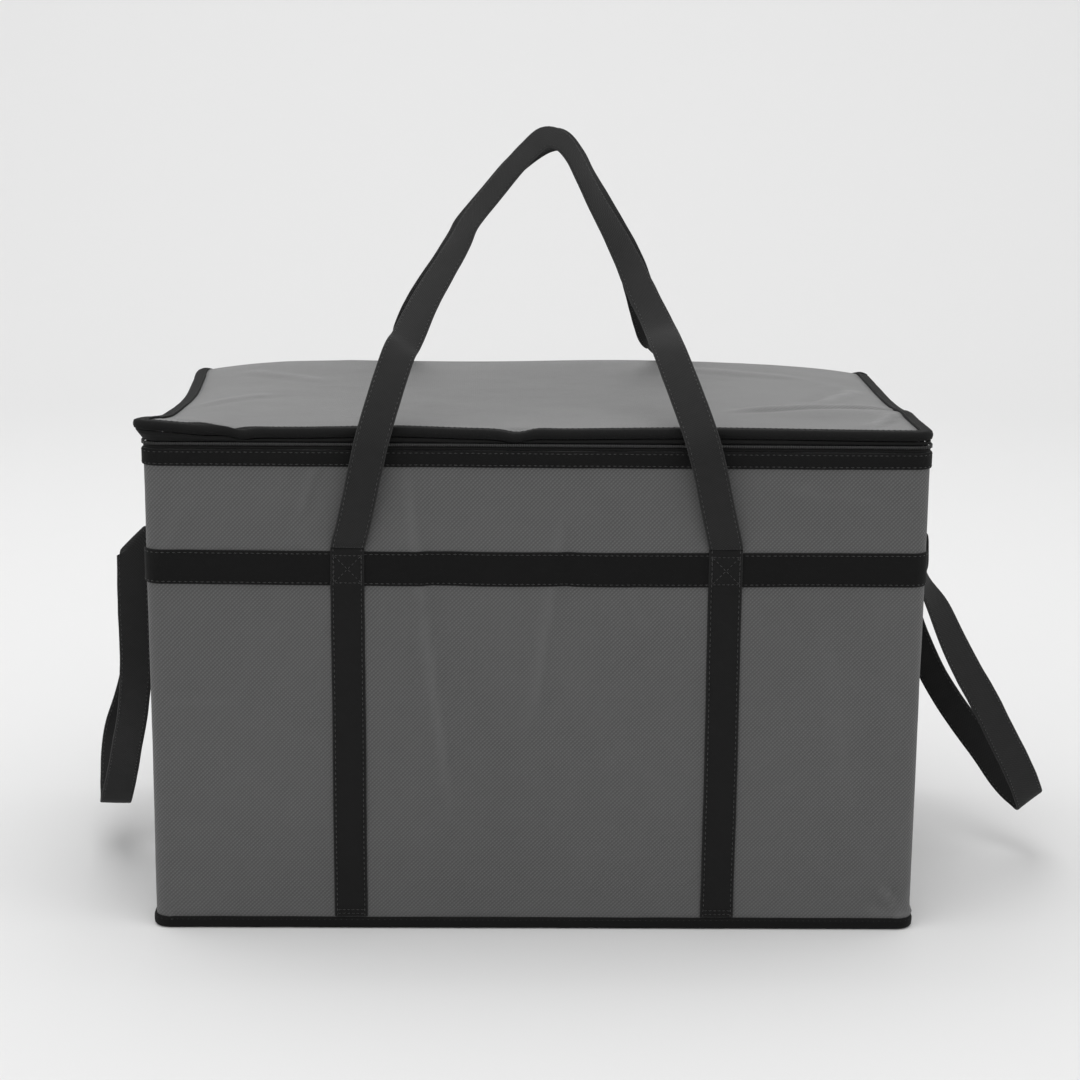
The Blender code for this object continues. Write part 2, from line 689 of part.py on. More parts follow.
def make_top_handle(name, face, bends):
    """Handle whose two ends carry on from the upright straps of a face."""
    foot = STRAP_TOP + BUTT_GAP
    out = OVER_BAND + STRAP / 2
    side = -1 if face is FRONT else 1
    ends = [wall_point(on_face(face, side * x), foot, out) for x in (STRAP_X, -STRAP_X)]
    rows = [(*ends[0], 0.0)]
    for bend in bends:
        place = (bend.across * STRAP_X, bend.back * HALF_DEPTH, foot + bend.up * HANDLE_RISE)
        rows.append((*place, math.radians(bend.twist)))
    rows.append((*ends[1], math.radians(bends[-1].twist)))
    # Vectors of four: the place and the twist go through the same smoothing
    path = smooth_path(rows)
    points = [Vector(row[:3]) for row in path]
    ways = directions(points)
    # Each end meets its upright strap squarely
    ways[0] = Vector((0.0, 0.0, 1.0))
    ways[-1] = Vector((0.0, 0.0, -1.0))
    widths = []
    for row, travel in zip(path, ways):
        flat = travel.cross(Vector((0.0, 1.0, 0.0))).normalized()
        deep = flat.cross(travel)
        widths.append(flat * math.cos(row[3]) + deep * math.sin(row[3]))
    ribbon(name, points, widths)


def make_side_handle(name, face, folds, bends):
    """Loop whose two ends lie on the waist band, fold down and hang."""
    outward, along = axes(face)
    outward = outward.to_3d()
    back = Vector((0.0, 1.0, 0.0))
    down = Vector((0.0, 0.0, -1.0))
    side = 1 if along.y > 0 else -1
    wall = face.reach + face.bulge + OVER_BAND + TAB_GAP + STRAP / 2
    half_spread = SIDE_HANDLE_SPREAD / 2
    middle = outward * wall - down * WAIST_BAND_MIDDLE

    def tab_row(distance):
        seat = on_face(face, side * distance)
        out = OVER_BAND + TAB_GAP + STRAP / 2
        low = wall_point(seat, WAIST_BAND_FOOT, out)
        high = wall_point(seat, WAIST_BAND_TOP, out)
        lean = math.atan2(high.z - low.z, (low - high).dot(outward))
        return (*((low + high) / 2), lean, 0.0)

    def end_rows(end, inner):
        centre = middle + back * end * half_spread
        turn = half_spread + SIDE_TURN
        if inner is None:
            way, layer, yaw = back * -end, outward, math.pi / 2 * -end
            turn += STRAP_WIDTH / 2
        else:
            way, layer, yaw = outward, back * end, 0.0
            centre += outward * (inner + STRAP_WIDTH / 2)
        rows = [tab_row(end * (turn + SIDE_TAB)), tab_row(end * turn)]
        for along_way, over, drop, tilt in FOLD:
            place = centre + way * along_way + layer * over + down * drop
            rows.append((*place, math.radians(tilt), yaw))
        return rows
    rows = end_rows(-1, folds[0])
    for bend in bends:
        place = middle + outward * bend.out * SIDE_HANDLE_REACH + back * bend.along * half_spread
        place += down * bend.drop * SIDE_HANDLE_DROP
        rows.append((*place, math.radians(bend.tilt), math.radians(bend.yaw)))
    rows += end_rows(1, folds[1])[::-1]
    path = smooth_path(rows)
    points = [Vector(row[:3]) for row in path]
    widths = []
    for row, start, end in zip(path, [points[0], *points], [points[1], *points[1:]]):
        tilt, yaw = row[3:]
        inward = outward * -math.cos(yaw) + back * -math.sin(yaw)
        width = inward * math.cos(tilt) - down * math.sin(tilt)
        # A row that slants across the strap is longer than the strap is wide
        travel = (end - start).normalized()
        widths.append(width / width.cross(travel).length)
    ribbon(name, points, widths)


clear_scene()
BAG = make_collection("insulated_tote_bag")
make_walls()
make_base()
make_tapes()
make_straps()
make_zip()
make_lid()
make_lid_binding()
make_top_handle("front_handle", FRONT, FRONT_BENDS)
make_top_handle("back_handle", BACK, BACK_BENDS)
make_side_handle("right_handle", RIGHT, RIGHT_FOLDS, RIGHT_BENDS)
make_side_handle("left_handle", LEFT, LEFT_FOLDS, LEFT_BENDS)
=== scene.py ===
import math

import bpy
import numpy as np
from mathutils import Matrix, Vector, noise


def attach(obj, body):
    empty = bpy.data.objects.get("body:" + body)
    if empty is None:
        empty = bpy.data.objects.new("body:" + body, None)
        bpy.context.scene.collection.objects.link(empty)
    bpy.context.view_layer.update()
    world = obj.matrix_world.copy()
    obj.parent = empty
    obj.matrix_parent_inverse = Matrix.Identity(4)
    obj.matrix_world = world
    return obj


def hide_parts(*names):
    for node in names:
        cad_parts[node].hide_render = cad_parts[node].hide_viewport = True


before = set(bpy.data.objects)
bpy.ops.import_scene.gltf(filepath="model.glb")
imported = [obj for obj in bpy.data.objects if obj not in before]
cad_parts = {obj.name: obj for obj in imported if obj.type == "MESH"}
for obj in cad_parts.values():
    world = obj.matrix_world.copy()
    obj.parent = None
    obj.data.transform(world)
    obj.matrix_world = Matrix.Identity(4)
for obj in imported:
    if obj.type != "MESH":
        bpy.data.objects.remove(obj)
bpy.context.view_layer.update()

# Sizes repeated from the part's source, in metres
BODY_WIDTH, BODY_DEPTH, BODY_HEIGHT = 0.587, 0.354, 0.376
BASE_INSET = 0.0008
CORNER_RADIUS = 0.012
CORNER_LAP = 0.008
WALL = 0.004
FRONT_BULGE, SIDE_BULGE = 0.006, 0.004
SIDE_SAG = 0.010
TAPE, STRAP = 0.0012, 0.0018
STRAP_WIDTH = 0.0254
STRAP_X = 0.2826 / 2
WAIST_BAND_FOOT, WAIST_BAND_WIDTH = 0.2735, 0.0262
RIM_BAND_WIDTH = 0.0125
BASE_BINDING_HEIGHT = 0.0092
ZIP_TAPE_LOWER, ZIP_TAPE_UPPER, ZIP_COIL = 0.0024, 0.002, 0.0026
LID = 0.004
LID_OVERHANG = 0.0015
LID_BINDING_WIDTH = 0.009
LID_FOLD_RADIUS = 0.009
LID_CORNER_CURL, LID_CORNER_FLARE, LID_CURL_REACH = 0.006, 0.0055, 0.075
HANDLE_RISE = 0.2925
SIDE_HANDLE_SPREAD, SIDE_HANDLE_DROP, SIDE_HANDLE_REACH = 0.17, 0.243, 0.122
SIDE_TAB, SIDE_TURN, FOLD_LAYERS = 0.028, 0.005, 0.006
GAP, BUTT_GAP, LID_UNDER_GAP, TAB_GAP, WALL_FOOT = 0.0003, 0.0006, 0.0009, 0.0007, 0.0006

HALF_WIDTH, HALF_DEPTH = BODY_WIDTH / 2, BODY_DEPTH / 2
WAIST_BAND_TOP = WAIST_BAND_FOOT + WAIST_BAND_WIDTH
WAIST_BAND_MIDDLE = WAIST_BAND_FOOT + WAIST_BAND_WIDTH / 2
STRAP_TOP = WAIST_BAND_TOP + 0.003
STRAP_FOOT = BASE_BINDING_HEIGHT + BUTT_GAP
RAMP_FOOT = WAIST_BAND_FOOT - STRAP_WIDTH / 4
RIM_BAND_FOOT = BODY_HEIGHT - RIM_BAND_WIDTH
OVER_BAND = GAP + TAPE + GAP
COIL_FOOT = BODY_HEIGHT + GAP + ZIP_TAPE_LOWER + GAP
COIL_MIDDLE = COIL_FOOT + ZIP_COIL / 2
UPPER_TAPE_FOOT = COIL_FOOT + ZIP_COIL + GAP
ZIP_TOP = UPPER_TAPE_FOOT + ZIP_TAPE_UPPER
LID_TOP = ZIP_TOP + GAP + TAPE + LID_UNDER_GAP + LID
LID_REACH = LID_OVERHANG - TAPE - GAP

# Dents: along, up, long, wide, lean, depth, as in the part's source
FRONT_DENTS = ((-0.26, 0.62, 0.30, 0.05, -8, 0.75), (0.06, 0.66, 0.19, 0.05, 5, 0.65),
               (-0.58, 0.91, 0.07, 0.04, 10, 0.45), (0.22, 0.30, 0.22, 0.10, -30, 0.40),
               (-0.78, 0.45, 0.16, 0.10, 80, 0.40), (0.80, 0.55, 0.24, 0.12, 12, 0.55),
               (0.72, 0.93, 0.05, 0.08, 0, -0.40))
BACK_DENTS = ((0.30, 0.55, 0.28, 0.06, 10, 0.7), (-0.15, 0.60, 0.20, 0.06, -12, 0.6),
              (-0.75, 0.40, 0.22, 0.12, 70, 0.5))
RIGHT_DENTS = ((-0.20, 0.48, 0.26, 0.10, 6, 0.6), (0.45, 0.60, 0.20, 0.08, -15, 0.5))
LEFT_DENTS = ((0.15, 0.50, 0.26, 0.10, -6, 0.6), (-0.45, 0.35, 0.20, 0.08, 20, 0.5),
              (0.15, 1.00, 0.28, 0.36, 0, 2.4))
# Humps: across, back, long, wide, turn, rise
LID_HUMPS = ((0.00, 0.05, 0.95, 0.75, 0, -0.75), (-0.36, -0.92, 0.26, 0.30, 0, 0.45),
             (0.42, -0.95, 0.50, 0.40, 0, 0.40), (0.84, -0.45, 0.42, 0.14, 12, 0.75),
             (-0.83, -0.20, 0.45, 0.16, 100, 0.45), (0.25, 0.85, 0.60, 0.30, 0, 0.95),
             (-0.55, 0.85, 0.60, 0.30, 0, 0.40))
# Creases: two ends in metres (along, up), half width, depth (negative stands proud),
# and the share of it that is a ridge beside a valley
FRONT_CREASES = (
    (-0.0868, 0.3400, -0.0607, 0.1302, 0.0050, 0.0011, 0.6),
    (0.0264, 0.3139, 0.0103, 0.1906, 0.0055, 0.0010, 0.5),
    (0.0103, 0.1906, 0.0040, 0.1500, 0.0070, 0.0005, 0.3),
    (-0.1607, 0.3622, -0.1700, 0.3266, 0.0035, 0.0008, 0.5),
    (-0.2742, 0.1894, -0.2298, 0.1896, 0.0045, 0.0006, 0.4),
    (-0.1050, 0.2500, -0.0600, 0.2580, 0.0080, 0.0004, 0.2),
    (0.0700, 0.2900, 0.0900, 0.2450, 0.0050, 0.0004, 0.4),
    (0.2750, 0.0360, 0.2880, 0.0120, 0.0030, 0.0014, 0.8),
    (0.2620, 0.0200, 0.2860, 0.0160, 0.0030, 0.0009, 0.6),
    (-0.2871, 0.0200, -0.2780, 0.0110, 0.0028, 0.0010, 0.7),
    (0.2400, 0.2300, 0.2650, 0.1000, 0.0120, 0.0005, 0.3),
    (-0.2500, 0.3300, -0.2650, 0.2900, 0.0080, 0.0005, 0.3),
    (0.1900, 0.3560, 0.2450, 0.3500, 0.0050, 0.0005, 0.5),
)
BACK_CREASES = (
    (0.0900, 0.3300, 0.0700, 0.1500, 0.0055, 0.0010, 0.5),
    (-0.0400, 0.2700, -0.0700, 0.1200, 0.0060, 0.0009, 0.5),
    (-0.2500, 0.1500, -0.2000, 0.1560, 0.0050, 0.0006, 0.4),
    (0.2300, 0.2600, 0.2500, 0.1200, 0.0090, 0.0006, 0.4),
)
RIGHT_CREASES = (
    (-0.0500, 0.2400, -0.0300, 0.0900, 0.0060, 0.0010, 0.5),
    (0.0700, 0.3500, 0.0500, 0.3050, 0.0050, 0.0008, 0.5),
    (0.1100, 0.2000, 0.1300, 0.0400, 0.0070, 0.0007, 0.4),
)
LEFT_CREASES = (
    (0.0300, 0.2600, 0.0100, 0.1000, 0.0060, 0.0010, 0.5),
    (-0.0800, 0.3550, -0.0300, 0.3400, 0.0060, 0.0012, 0.5),
    (0.1000, 0.3500, 0.0600, 0.3200, 0.0060, 0.0010, 0.5),
)
# Lid creases: two ends in metres (across, back), half width, rise (negative dips), ridge
LID_CREASES = (
    (0.1658, -0.0744, 0.2715, -0.0373, 0.0060, 0.0022, 0.5),
    (0.2543, -0.1434, 0.2747, -0.0891, 0.0045, 0.0014, 0.5),
    (0.2642, 0.0485, 0.2301, -0.0241, 0.0070, 0.0014, 0.5),
    (-0.2739, -0.1394, -0.2174, -0.1762, 0.0050, -0.0016, 0.6),
    (-0.0203, -0.1900, -0.0150, -0.1600, 0.0100, -0.0018, 0.2),
    (-0.2650, -0.0600, -0.2200, -0.0100, 0.0070, 0.0009, 0.4),
    (-0.2400, 0.1200, -0.1800, 0.0700, 0.0080, 0.0008, 0.3),
    (0.1300, 0.1300, 0.2200, 0.1000, 0.0080, 0.0008, 0.3),
)

# Top handles: across, back, up, twist
FRONT_BENDS = (
    (-0.962, -1.045, 0.070, 0),
    (-0.900, -1.070, 0.207, 0),
    (-0.848, -1.060, 0.312, 3),
    (-0.747, -0.880, 0.468, 8),
    (-0.694, -0.720, 0.514, 18),
    (-0.614, -0.530, 0.589, 34),
    (-0.521, -0.380, 0.660, 42),
    (-0.438, -0.270, 0.724, 48),
    (-0.378, -0.200, 0.776, 56),
    (-0.270, -0.150, 0.843, 54),
    (-0.136, -0.115, 0.922, 54),
    (-0.051, -0.095, 0.966, 54),
    (0.038, -0.085, 1.001, 52),
    (0.128, -0.085, 0.993, 55),
    (0.193, -0.090, 0.957, 60),
    (0.250, -0.100, 0.906, 60),
    (0.328, -0.120, 0.833, 56),
    (0.416, -0.160, 0.760, 48),
    (0.499, -0.220, 0.685, 38),
    (0.567, -0.320, 0.616, 28),
    (0.653, -0.500, 0.534, 24),
    (0.710, -0.780, 0.474, 12),
    (0.838, -1.060, 0.312, 0),
    (0.900, -1.070, 0.207, 0),
    (0.965, -1.045, 0.070, 0),
)
BACK_BENDS = (
    (-0.960, 1.045, 0.070, 0),
    (-0.905, 1.070, 0.205, 0),
    (-0.822, 1.060, 0.322, 5),
    (-0.785, 0.860, 0.378, 4),
    (-0.752, 0.640, 0.433, 8),
    (-0.669, 0.490, 0.523, 24),
    (-0.568, 0.340, 0.611, 40),
    (-0.470, 0.230, 0.698, 50),
    (-0.411, 0.170, 0.755, 54),
    (-0.284, 0.125, 0.831, 54),
    (-0.149, 0.095, 0.909, 54),
    (-0.032, 0.085, 0.960, 50),
    (0.063, 0.085, 0.987, 48),
    (0.142, 0.085, 0.987, 50),
    (0.225, 0.085, 0.946, 58),
    (0.283, 0.090, 0.896, 60),
    (0.365, 0.110, 0.822, 52),
    (0.444, 0.150, 0.748, 42),
    (0.525, 0.210, 0.670, 30),
    (0.587, 0.300, 0.595, 18),
    (0.642, 0.440, 0.509, 10),
    (0.707, 0.630, 0.416, 4),
    (0.768, 0.850, 0.380, 5),
    (0.845, 1.060, 0.322, 0),
    (0.905, 1.070, 0.205, 0),
    (0.960, 1.045, 0.070, 0),
)
FOLD_APEX = FOLD_LAYERS / 4
# Rows of a diagonal fold: along the strap's way in, over to the hanging layer, down, tilt
FOLD = (
    (-(STRAP_WIDTH + SIDE_TURN) / 2, 0.0, 0.0, 90),
    (-STRAP_WIDTH / 4, 0.0, 0.0, 67),
    (-FOLD_APEX, FOLD_LAYERS / 8, 0.0, 45),
    (0.0, FOLD_LAYERS / 2, -FOLD_APEX, 45),
    (0.0, FOLD_LAYERS * 7 / 8, FOLD_APEX, 45),
    (0.0, FOLD_LAYERS, STRAP_WIDTH / 4, 23),
    (0.0, FOLD_LAYERS, STRAP_WIDTH * 0.65, 0),
)
# Side handles: out, along, drop, tilt, yaw
RIGHT_FOLDS, LEFT_FOLDS = (None, None), (0.0015, None)
RIGHT_BENDS = (
    (0.056, -1.00, 0.125, 0, 65), (0.154, -0.98, 0.214, -10, 45), (0.273, -0.90, 0.339, -20, 34),
    (0.395, -0.80, 0.451, -25, 28), (0.545, -0.66, 0.576, -28, 22),
    (0.698, -0.48, 0.718, -30, 16), (0.841, -0.28, 0.846, -32, 8), (0.949, -0.08, 0.960, -36, 0),
    (0.974, 0.03, 0.995, -40, 0), (0.944, 0.13, 0.990, -38, -6), (0.841, 0.28, 0.947, -34, -12),
    (0.695, 0.52, 0.851, -32, -20), (0.520, 0.75, 0.738, -31, -26),
    (0.386, 0.90, 0.633, -30, -30), (0.254, 0.99, 0.490, -22, -36),
    (0.140, 1.01, 0.320, -12, -48), (0.070, 1.00, 0.170, -4, -70),
)
LEFT_BENDS = (
    (0.120, -1.07, 0.196, 0, 0), (0.123, -1.03, 0.300, 0, 0), (0.127, -0.98, 0.400, 0, 0),
    (0.149, -0.90, 0.515, -4, 8), (0.192, -0.75, 0.634, -7, 14), (0.244, -0.58, 0.739, -8, 16),
    (0.324, -0.30, 0.891, -6, 10), (0.386, -0.08, 0.990, -3, 0), (0.406, 0.04, 1.010, 0, 0),
    (0.418, 0.16, 0.995, 0, -4), (0.435, 0.34, 0.945, 0, -10), (0.453, 0.60, 0.875, 0, -16),
    (0.440, 0.75, 0.810, 2, -18), (0.388, 0.87, 0.725, 4, -18), (0.340, 0.95, 0.630, 5, -16),
    (0.292, 1.01, 0.520, 2, -24), (0.187, 1.02, 0.350, 0, -42), (0.088, 1.00, 0.180, 0, -68),
)


# camera and light
CAMERA_PLACE = (-0.0234, -1.9498, 0.7084)
CAMERA_YAW, CAMERA_PITCH, CAMERA_ROLL = 0.0144, 0.2218, 0.0085
LENS, SENSOR = 81.12, 36.0


def set_camera():
    yaw, pitch, roll = CAMERA_YAW, CAMERA_PITCH, CAMERA_ROLL
    forward = Vector((math.sin(yaw) * math.cos(pitch), math.cos(yaw) * math.cos(pitch),
                      -math.sin(pitch)))
    level = Vector((math.cos(yaw), -math.sin(yaw), 0.0))
    above = level.cross(forward)
    right = level * math.cos(roll) + above * math.sin(roll)
    up = above * math.cos(roll) - level * math.sin(roll)
    lens = bpy.data.cameras.new("camera")
    lens.sensor_fit = "HORIZONTAL"
    lens.sensor_width = SENSOR
    lens.lens = LENS
    lens.clip_end = 50.0
    camera = bpy.data.objects.new("camera", lens)
    camera.matrix_world = Matrix.Translation(CAMERA_PLACE) @ Matrix(
        (right, up, -forward)).transposed().to_4x4()
    bpy.context.scene.collection.objects.link(camera)
    bpy.context.scene.camera = camera


def area_light(name, place, target, size, power):
    data = bpy.data.lights.new(name, "AREA")
    data.shape = "RECTANGLE"
    data.size, data.size_y = size
    data.energy = power
    light = bpy.data.objects.new(name, data)
    light.location = place
    aim = Vector(target) - Vector(place)
    light.rotation_euler = aim.to_track_quat("-Z", "Y").to_euler()
    bpy.context.scene.collection.objects.link(light)


FLOOR_FRONT, FLOOR_BACK, FLOOR_HALF_WIDTH = -6.0, 2.2, 7.0
SWEEP_RADIUS, SWEEP_STEPS, BACKDROP_TOP = 1.5, 12, 6.0


def make_stage():
    """Seamless pale floor that curves up behind."""
    profile = [(FLOOR_FRONT, 0.0), (FLOOR_BACK, 0.0)]
    for step in range(1, SWEEP_STEPS + 1):
        turn = math.radians(90 * step / SWEEP_STEPS)
        profile.append((FLOOR_BACK + SWEEP_RADIUS * math.sin(turn), SWEEP_RADIUS * (1 - math.cos(turn))))
    profile.append((FLOOR_BACK + SWEEP_RADIUS, BACKDROP_TOP))
    verts, faces = [], []
    for back, up in profile:
        verts += [(-FLOOR_HALF_WIDTH, back, up), (FLOOR_HALF_WIDTH, back, up)]
    for row in range(len(profile) - 1):
        first = 2 * row
        faces.append((first, first + 1, first + 3, first + 2))
    mesh = bpy.data.meshes.new("floor")
    mesh.from_pydata(verts, [], faces)
    mesh.shade_smooth()
    floor = bpy.data.objects.new("floor", mesh)
    bpy.context.scene.collection.objects.link(floor)
    material = bpy.data.materials.new("floor")
    material.use_nodes = True
    shader = material.node_tree.nodes["Principled BSDF"]
    shader.inputs["Base Color"].default_value = grey(0.80)
    shader.inputs["Roughness"].default_value = 0.9
    shader.inputs["Specular IOR Level"].default_value = 0.1
    mesh.materials.append(material)


def set_light():
    world = bpy.data.worlds.new("studio")
    world.use_nodes = True
    back = world.node_tree.nodes["Background"]
    back.inputs["Color"].default_value = grey(1.0)
    back.inputs["Strength"].default_value = 0.86
    bpy.context.scene.world = world
    area_light("top_light", (-0.2, -0.1, 2.6), (0.0, 0.0, 0.3), (2.6, 2.0), 22.0)
    area_light("left_light", (-2.6, -2.0, 1.3), (0.0, 0.0, 0.2), (1.2, 1.4), 5.0)
    area_light("right_light", (2.6, -1.7, 1.2), (0.0, 0.0, 0.2), (1.2, 1.4), 3.5)
    area_light("backdrop_light", (0.0, 0.6, 3.2), (0.0, 3.7, 1.6), (3.0, 1.0), 13.0)
    view = bpy.context.scene.view_settings
    view.view_transform = "Standard"
    view.look = "None"


# materials
class Nodes:
    """Small helper that adds nodes to a material and joins them."""

    def __init__(self, name):
        self.material = bpy.data.materials.new(name)
        self.material.use_nodes = True
        self.tree = self.material.node_tree
        self.shader = self.tree.nodes["Principled BSDF"]

    def add(self, kind, inputs=None, **values):
        node = self.tree.nodes.new(kind)
        for key, value in values.items():
            setattr(node, key, value)
        for key, value in (inputs or {}).items():
            if isinstance(value, bpy.types.NodeSocket):
                self.tree.links.new(value, node.inputs[key])
            else:
                node.inputs[key].default_value = value
        return node

    def math(self, operation, first, second=0.0):
        return self.add("ShaderNodeMath", {0: first, 1: second}, operation=operation).outputs[0]

    def line(self, value, slope, start):
        """The value times the slope, plus the start; the start may be a socket too."""
        return self.math("ADD", self.math("MULTIPLY", value, slope), start)

    def blend(self, share, first, second):
        inputs = {0: share, 6: first, 7: second}
        return self.add("ShaderNodeMix", inputs, data_type="RGBA").outputs[2]

    def wear(self, share, colour, level):
        """Lighter where the piece's wear colour says that it rubs or creases."""
        worn = self.add("ShaderNodeVertexColor", layer_name="wear").outputs["Color"]
        return self.blend(self.math("MULTIPLY", worn, share), colour, grey(level))

    def flat(self):
        return self.add("ShaderNodeUVMap", uv_map="flat").outputs[0]

    def place(self):
        return self.add("ShaderNodeTexCoord").outputs["Object"]

    def noise(self, where, scale, detail=2.0, roughness=0.5):
        node = self.add("ShaderNodeTexNoise", {"Vector": where, "Scale": scale,
                                              "Detail": detail, "Roughness": roughness})
        return node.outputs["Fac"]

    def bands(self, where, angle, pitch):
        """Smooth ribs from 0 to 1 across a direction, one every pitch metres."""
        turned = self.add("ShaderNodeMapping", {"Vector": where,
                                               "Rotation": (0.0, 0.0, math.radians(angle))})
        wave = self.add("ShaderNodeTexWave", {"Vector": turned.outputs[0],
                                             "Scale": math.pi / (10 * pitch)})
        wave.wave_profile = "SIN"
        return wave.outputs["Fac"]

    def surface(self, colour, roughness, height, depth, sheen, sheen_roughness, specular):
        self.tree.links.new(colour, self.shader.inputs["Base Color"])
        self.tree.links.new(roughness, self.shader.inputs["Roughness"])
        bump = self.add("ShaderNodeBump", {"Height": height, "Distance": depth, "Strength": 0.8})
        self.tree.links.new(bump.outputs[0], self.shader.inputs["Normal"])
        self.shader.inputs["Sheen Weight"].default_value = sheen
        self.shader.inputs["Sheen Roughness"].default_value = sheen_roughness
        self.shader.inputs["Specular IOR Level"].default_value = specular
        return self.material


def grey(value):
    return (value, value, value, 1.0)


HATCH_PITCH = 0.0022


def cloth_material(name, level, sheen):
    """Non-woven cloth pressed with a fine diagonal cross-hatch."""
    n = Nodes(name)
    flat, place = n.flat(), n.place()
    one = n.bands(flat, 45, HATCH_PITCH)
    other = n.bands(flat, -45, HATCH_PITCH)
    hatch = n.math("MULTIPLY", one, n.line(other, 0.65, 0.35))
    fibres = n.noise(place, 1400.0, 3.0, 0.6)
    mottle = n.noise(place, 45.0, 4.0, 0.6)
    broad = n.noise(place, 7.0, 3.0, 0.5)
    height = n.line(fibres, 0.55, hatch)
    cloud = n.line(mottle, 0.45, n.math("MULTIPLY", broad, 0.55))
    base = n.blend(cloud, grey(level * 0.80), grey(level * 1.22))
    lit = n.blend(n.math("MULTIPLY", hatch, 0.8), base, grey(level * 1.9))
    colour = n.wear(0.7, lit, level * 1.9)
    rough = n.line(fibres, 0.16, 0.70)
    return n.surface(colour, rough, height, 0.00030, sheen, 0.45, 0.35)


def tape_material(name, level, angle, sheen, pitch=0.0011):
    """Woven black tape with fine slanting ribs and a little lint."""
    n = Nodes(name)
    flat, place = n.flat(), n.place()
    ribs = n.bands(flat, angle, pitch)
    cross = n.bands(flat, angle + 90, pitch * 1.3)
    weave = n.math("MULTIPLY", ribs, n.line(cross, 0.6, 0.4))
    fibres = n.noise(place, 1800.0, 3.0, 0.6)
    dust = n.noise(place, 90.0, 4.0, 0.65)
    height = n.line(fibres, 0.5, weave)
    base = n.blend(dust, grey(level * 0.75), grey(level * 1.3))
    lit = n.blend(n.math("MULTIPLY", weave, 0.7), base, grey(level * 2.4))
    colour = n.wear(0.8, lit, level * 3.0)
    rough = n.line(fibres, 0.2, 0.72)
    return n.surface(colour, rough, height, 0.00018, sheen, 0.4, 0.15)


def thread_material(name, level):
    n = Nodes(name)
    place = n.place()
    twist = n.noise(place, 3000.0, 2.0, 0.5)
    shade = n.noise(place, 60.0, 2.0, 0.5)
    colour = n.blend(shade, grey(level * 0.7), grey(level * 1.3))
    rough = n.line(twist, 0.2, 0.45)
    return n.surface(colour, rough, twist, 0.0001, 0.2, 0.4, 0.5)


def plastic_material(name, level):
    n = Nodes(name)
    place = n.place()
    grain = n.noise(place, 900.0, 3.0, 0.6)
    scuff = n.noise(place, 120.0, 4.0, 0.7)
    colour = n.blend(scuff, grey(level * 0.8), grey(level * 1.5))
    rough = n.line(scuff, 0.25, 0.32)
    return n.surface(colour, rough, grain, 0.00004, 0.0, 0.5, 0.5)


# the body's surface
CELL = 0.004
CORNER_STEPS = 5
CREASE_DEPTH = 1.4


class Face:
    def __init__(self, quarter, half, reach, bulge, dents, creases):
        angle = math.radians(90 * quarter)
        self.along = Vector((math.cos(angle), math.sin(angle)))
        self.outward = Vector((math.sin(angle), -math.cos(angle)))
        self.half, self.reach, self.bulge = half, reach, bulge
        self.dents, self.creases = dents, creases
        self.seed = 10.0 * quarter


FRONT = Face(0, HALF_WIDTH - CORNER_RADIUS, HALF_DEPTH, FRONT_BULGE, FRONT_DENTS, FRONT_CREASES)
RIGHT = Face(1, HALF_DEPTH - CORNER_RADIUS, HALF_WIDTH, SIDE_BULGE, RIGHT_DENTS, RIGHT_CREASES)
BACK = Face(2, HALF_WIDTH - CORNER_RADIUS, HALF_DEPTH, FRONT_BULGE, BACK_DENTS, BACK_CREASES)
LEFT = Face(3, HALF_DEPTH - CORNER_RADIUS, HALF_WIDTH, SIDE_BULGE, LEFT_DENTS, LEFT_CREASES)


def smooth(share):
    share = min(max(share, 0.0), 1.0)
    return share * share * (3 - 2 * share)


def on_face(face, distance):
    return (face.outward * face.reach + face.along * distance, face.outward, face, distance)


def on_corner(face, angle):
    turn = math.radians(angle)
    normal = face.outward * math.cos(turn) + face.along * math.sin(turn)
    centre = face.outward * (face.reach - CORNER_RADIUS) + face.along * face.half
    return (centre + normal * CORNER_RADIUS, normal, face, face.half)


def settle(x, y):
    return SIDE_SAG * smooth((y / HALF_DEPTH + 1) / 1.3) * min(abs(x) / HALF_WIDTH, 1.0) ** 6


def crease_depth(creases, x, y):
    """Valley with a ridge beside it along each crease."""
    total = 0.0
    for x0, y0, x1, y1, width, depth, ridge in creases:
        dx, dy = x1 - x0, y1 - y0
        length = math.hypot(dx, dy)
        run = ((x - x0) * dx + (y - y0) * dy) / (length * length)
        if not -0.4 < run < 1.4:
            continue
        off = ((x - x0) * dy - (y - y0) * dx) / length
        # The line wanders a little, as a crease in cloth does
        off += 0.35 * width * noise.noise((x * 40, y * 40, x0 * 10))
        if abs(off) > 5 * width:
            continue
        fade = smooth((run + 0.25) / 0.4) * smooth((1.25 - run) / 0.4)
        q = off / width
        total += depth * fade * (math.exp(-q * q) - ridge * math.exp(-(q - 1.6) ** 2))
    return total * CREASE_DEPTH


def swell(face, along, height, fine=True):
    share = along / face.half
    up = min(max(height / BODY_HEIGHT, 0.0), 1.0)
    total = face.bulge * (1 - share * share) ** 2 * math.sin(math.pi * up)
    for mid, at, long, wide, lean, depth in face.dents:
        lean = math.radians(lean)
        aside = along - mid * face.half
        above = height - at * BODY_HEIGHT
        run = (above * math.cos(lean) - aside * math.sin(lean)) / (long * BODY_HEIGHT)
        width = (aside * math.cos(lean) + above * math.sin(lean)) / (wide * BODY_HEIGHT)
        total -= depth * WALL * math.exp(-run * run - width * width)
    total *= smooth((1 - abs(share)) * face.half / (4 * CORNER_RADIUS))
    if fine:
        total -= crease_depth(face.creases, along, height)
    return total


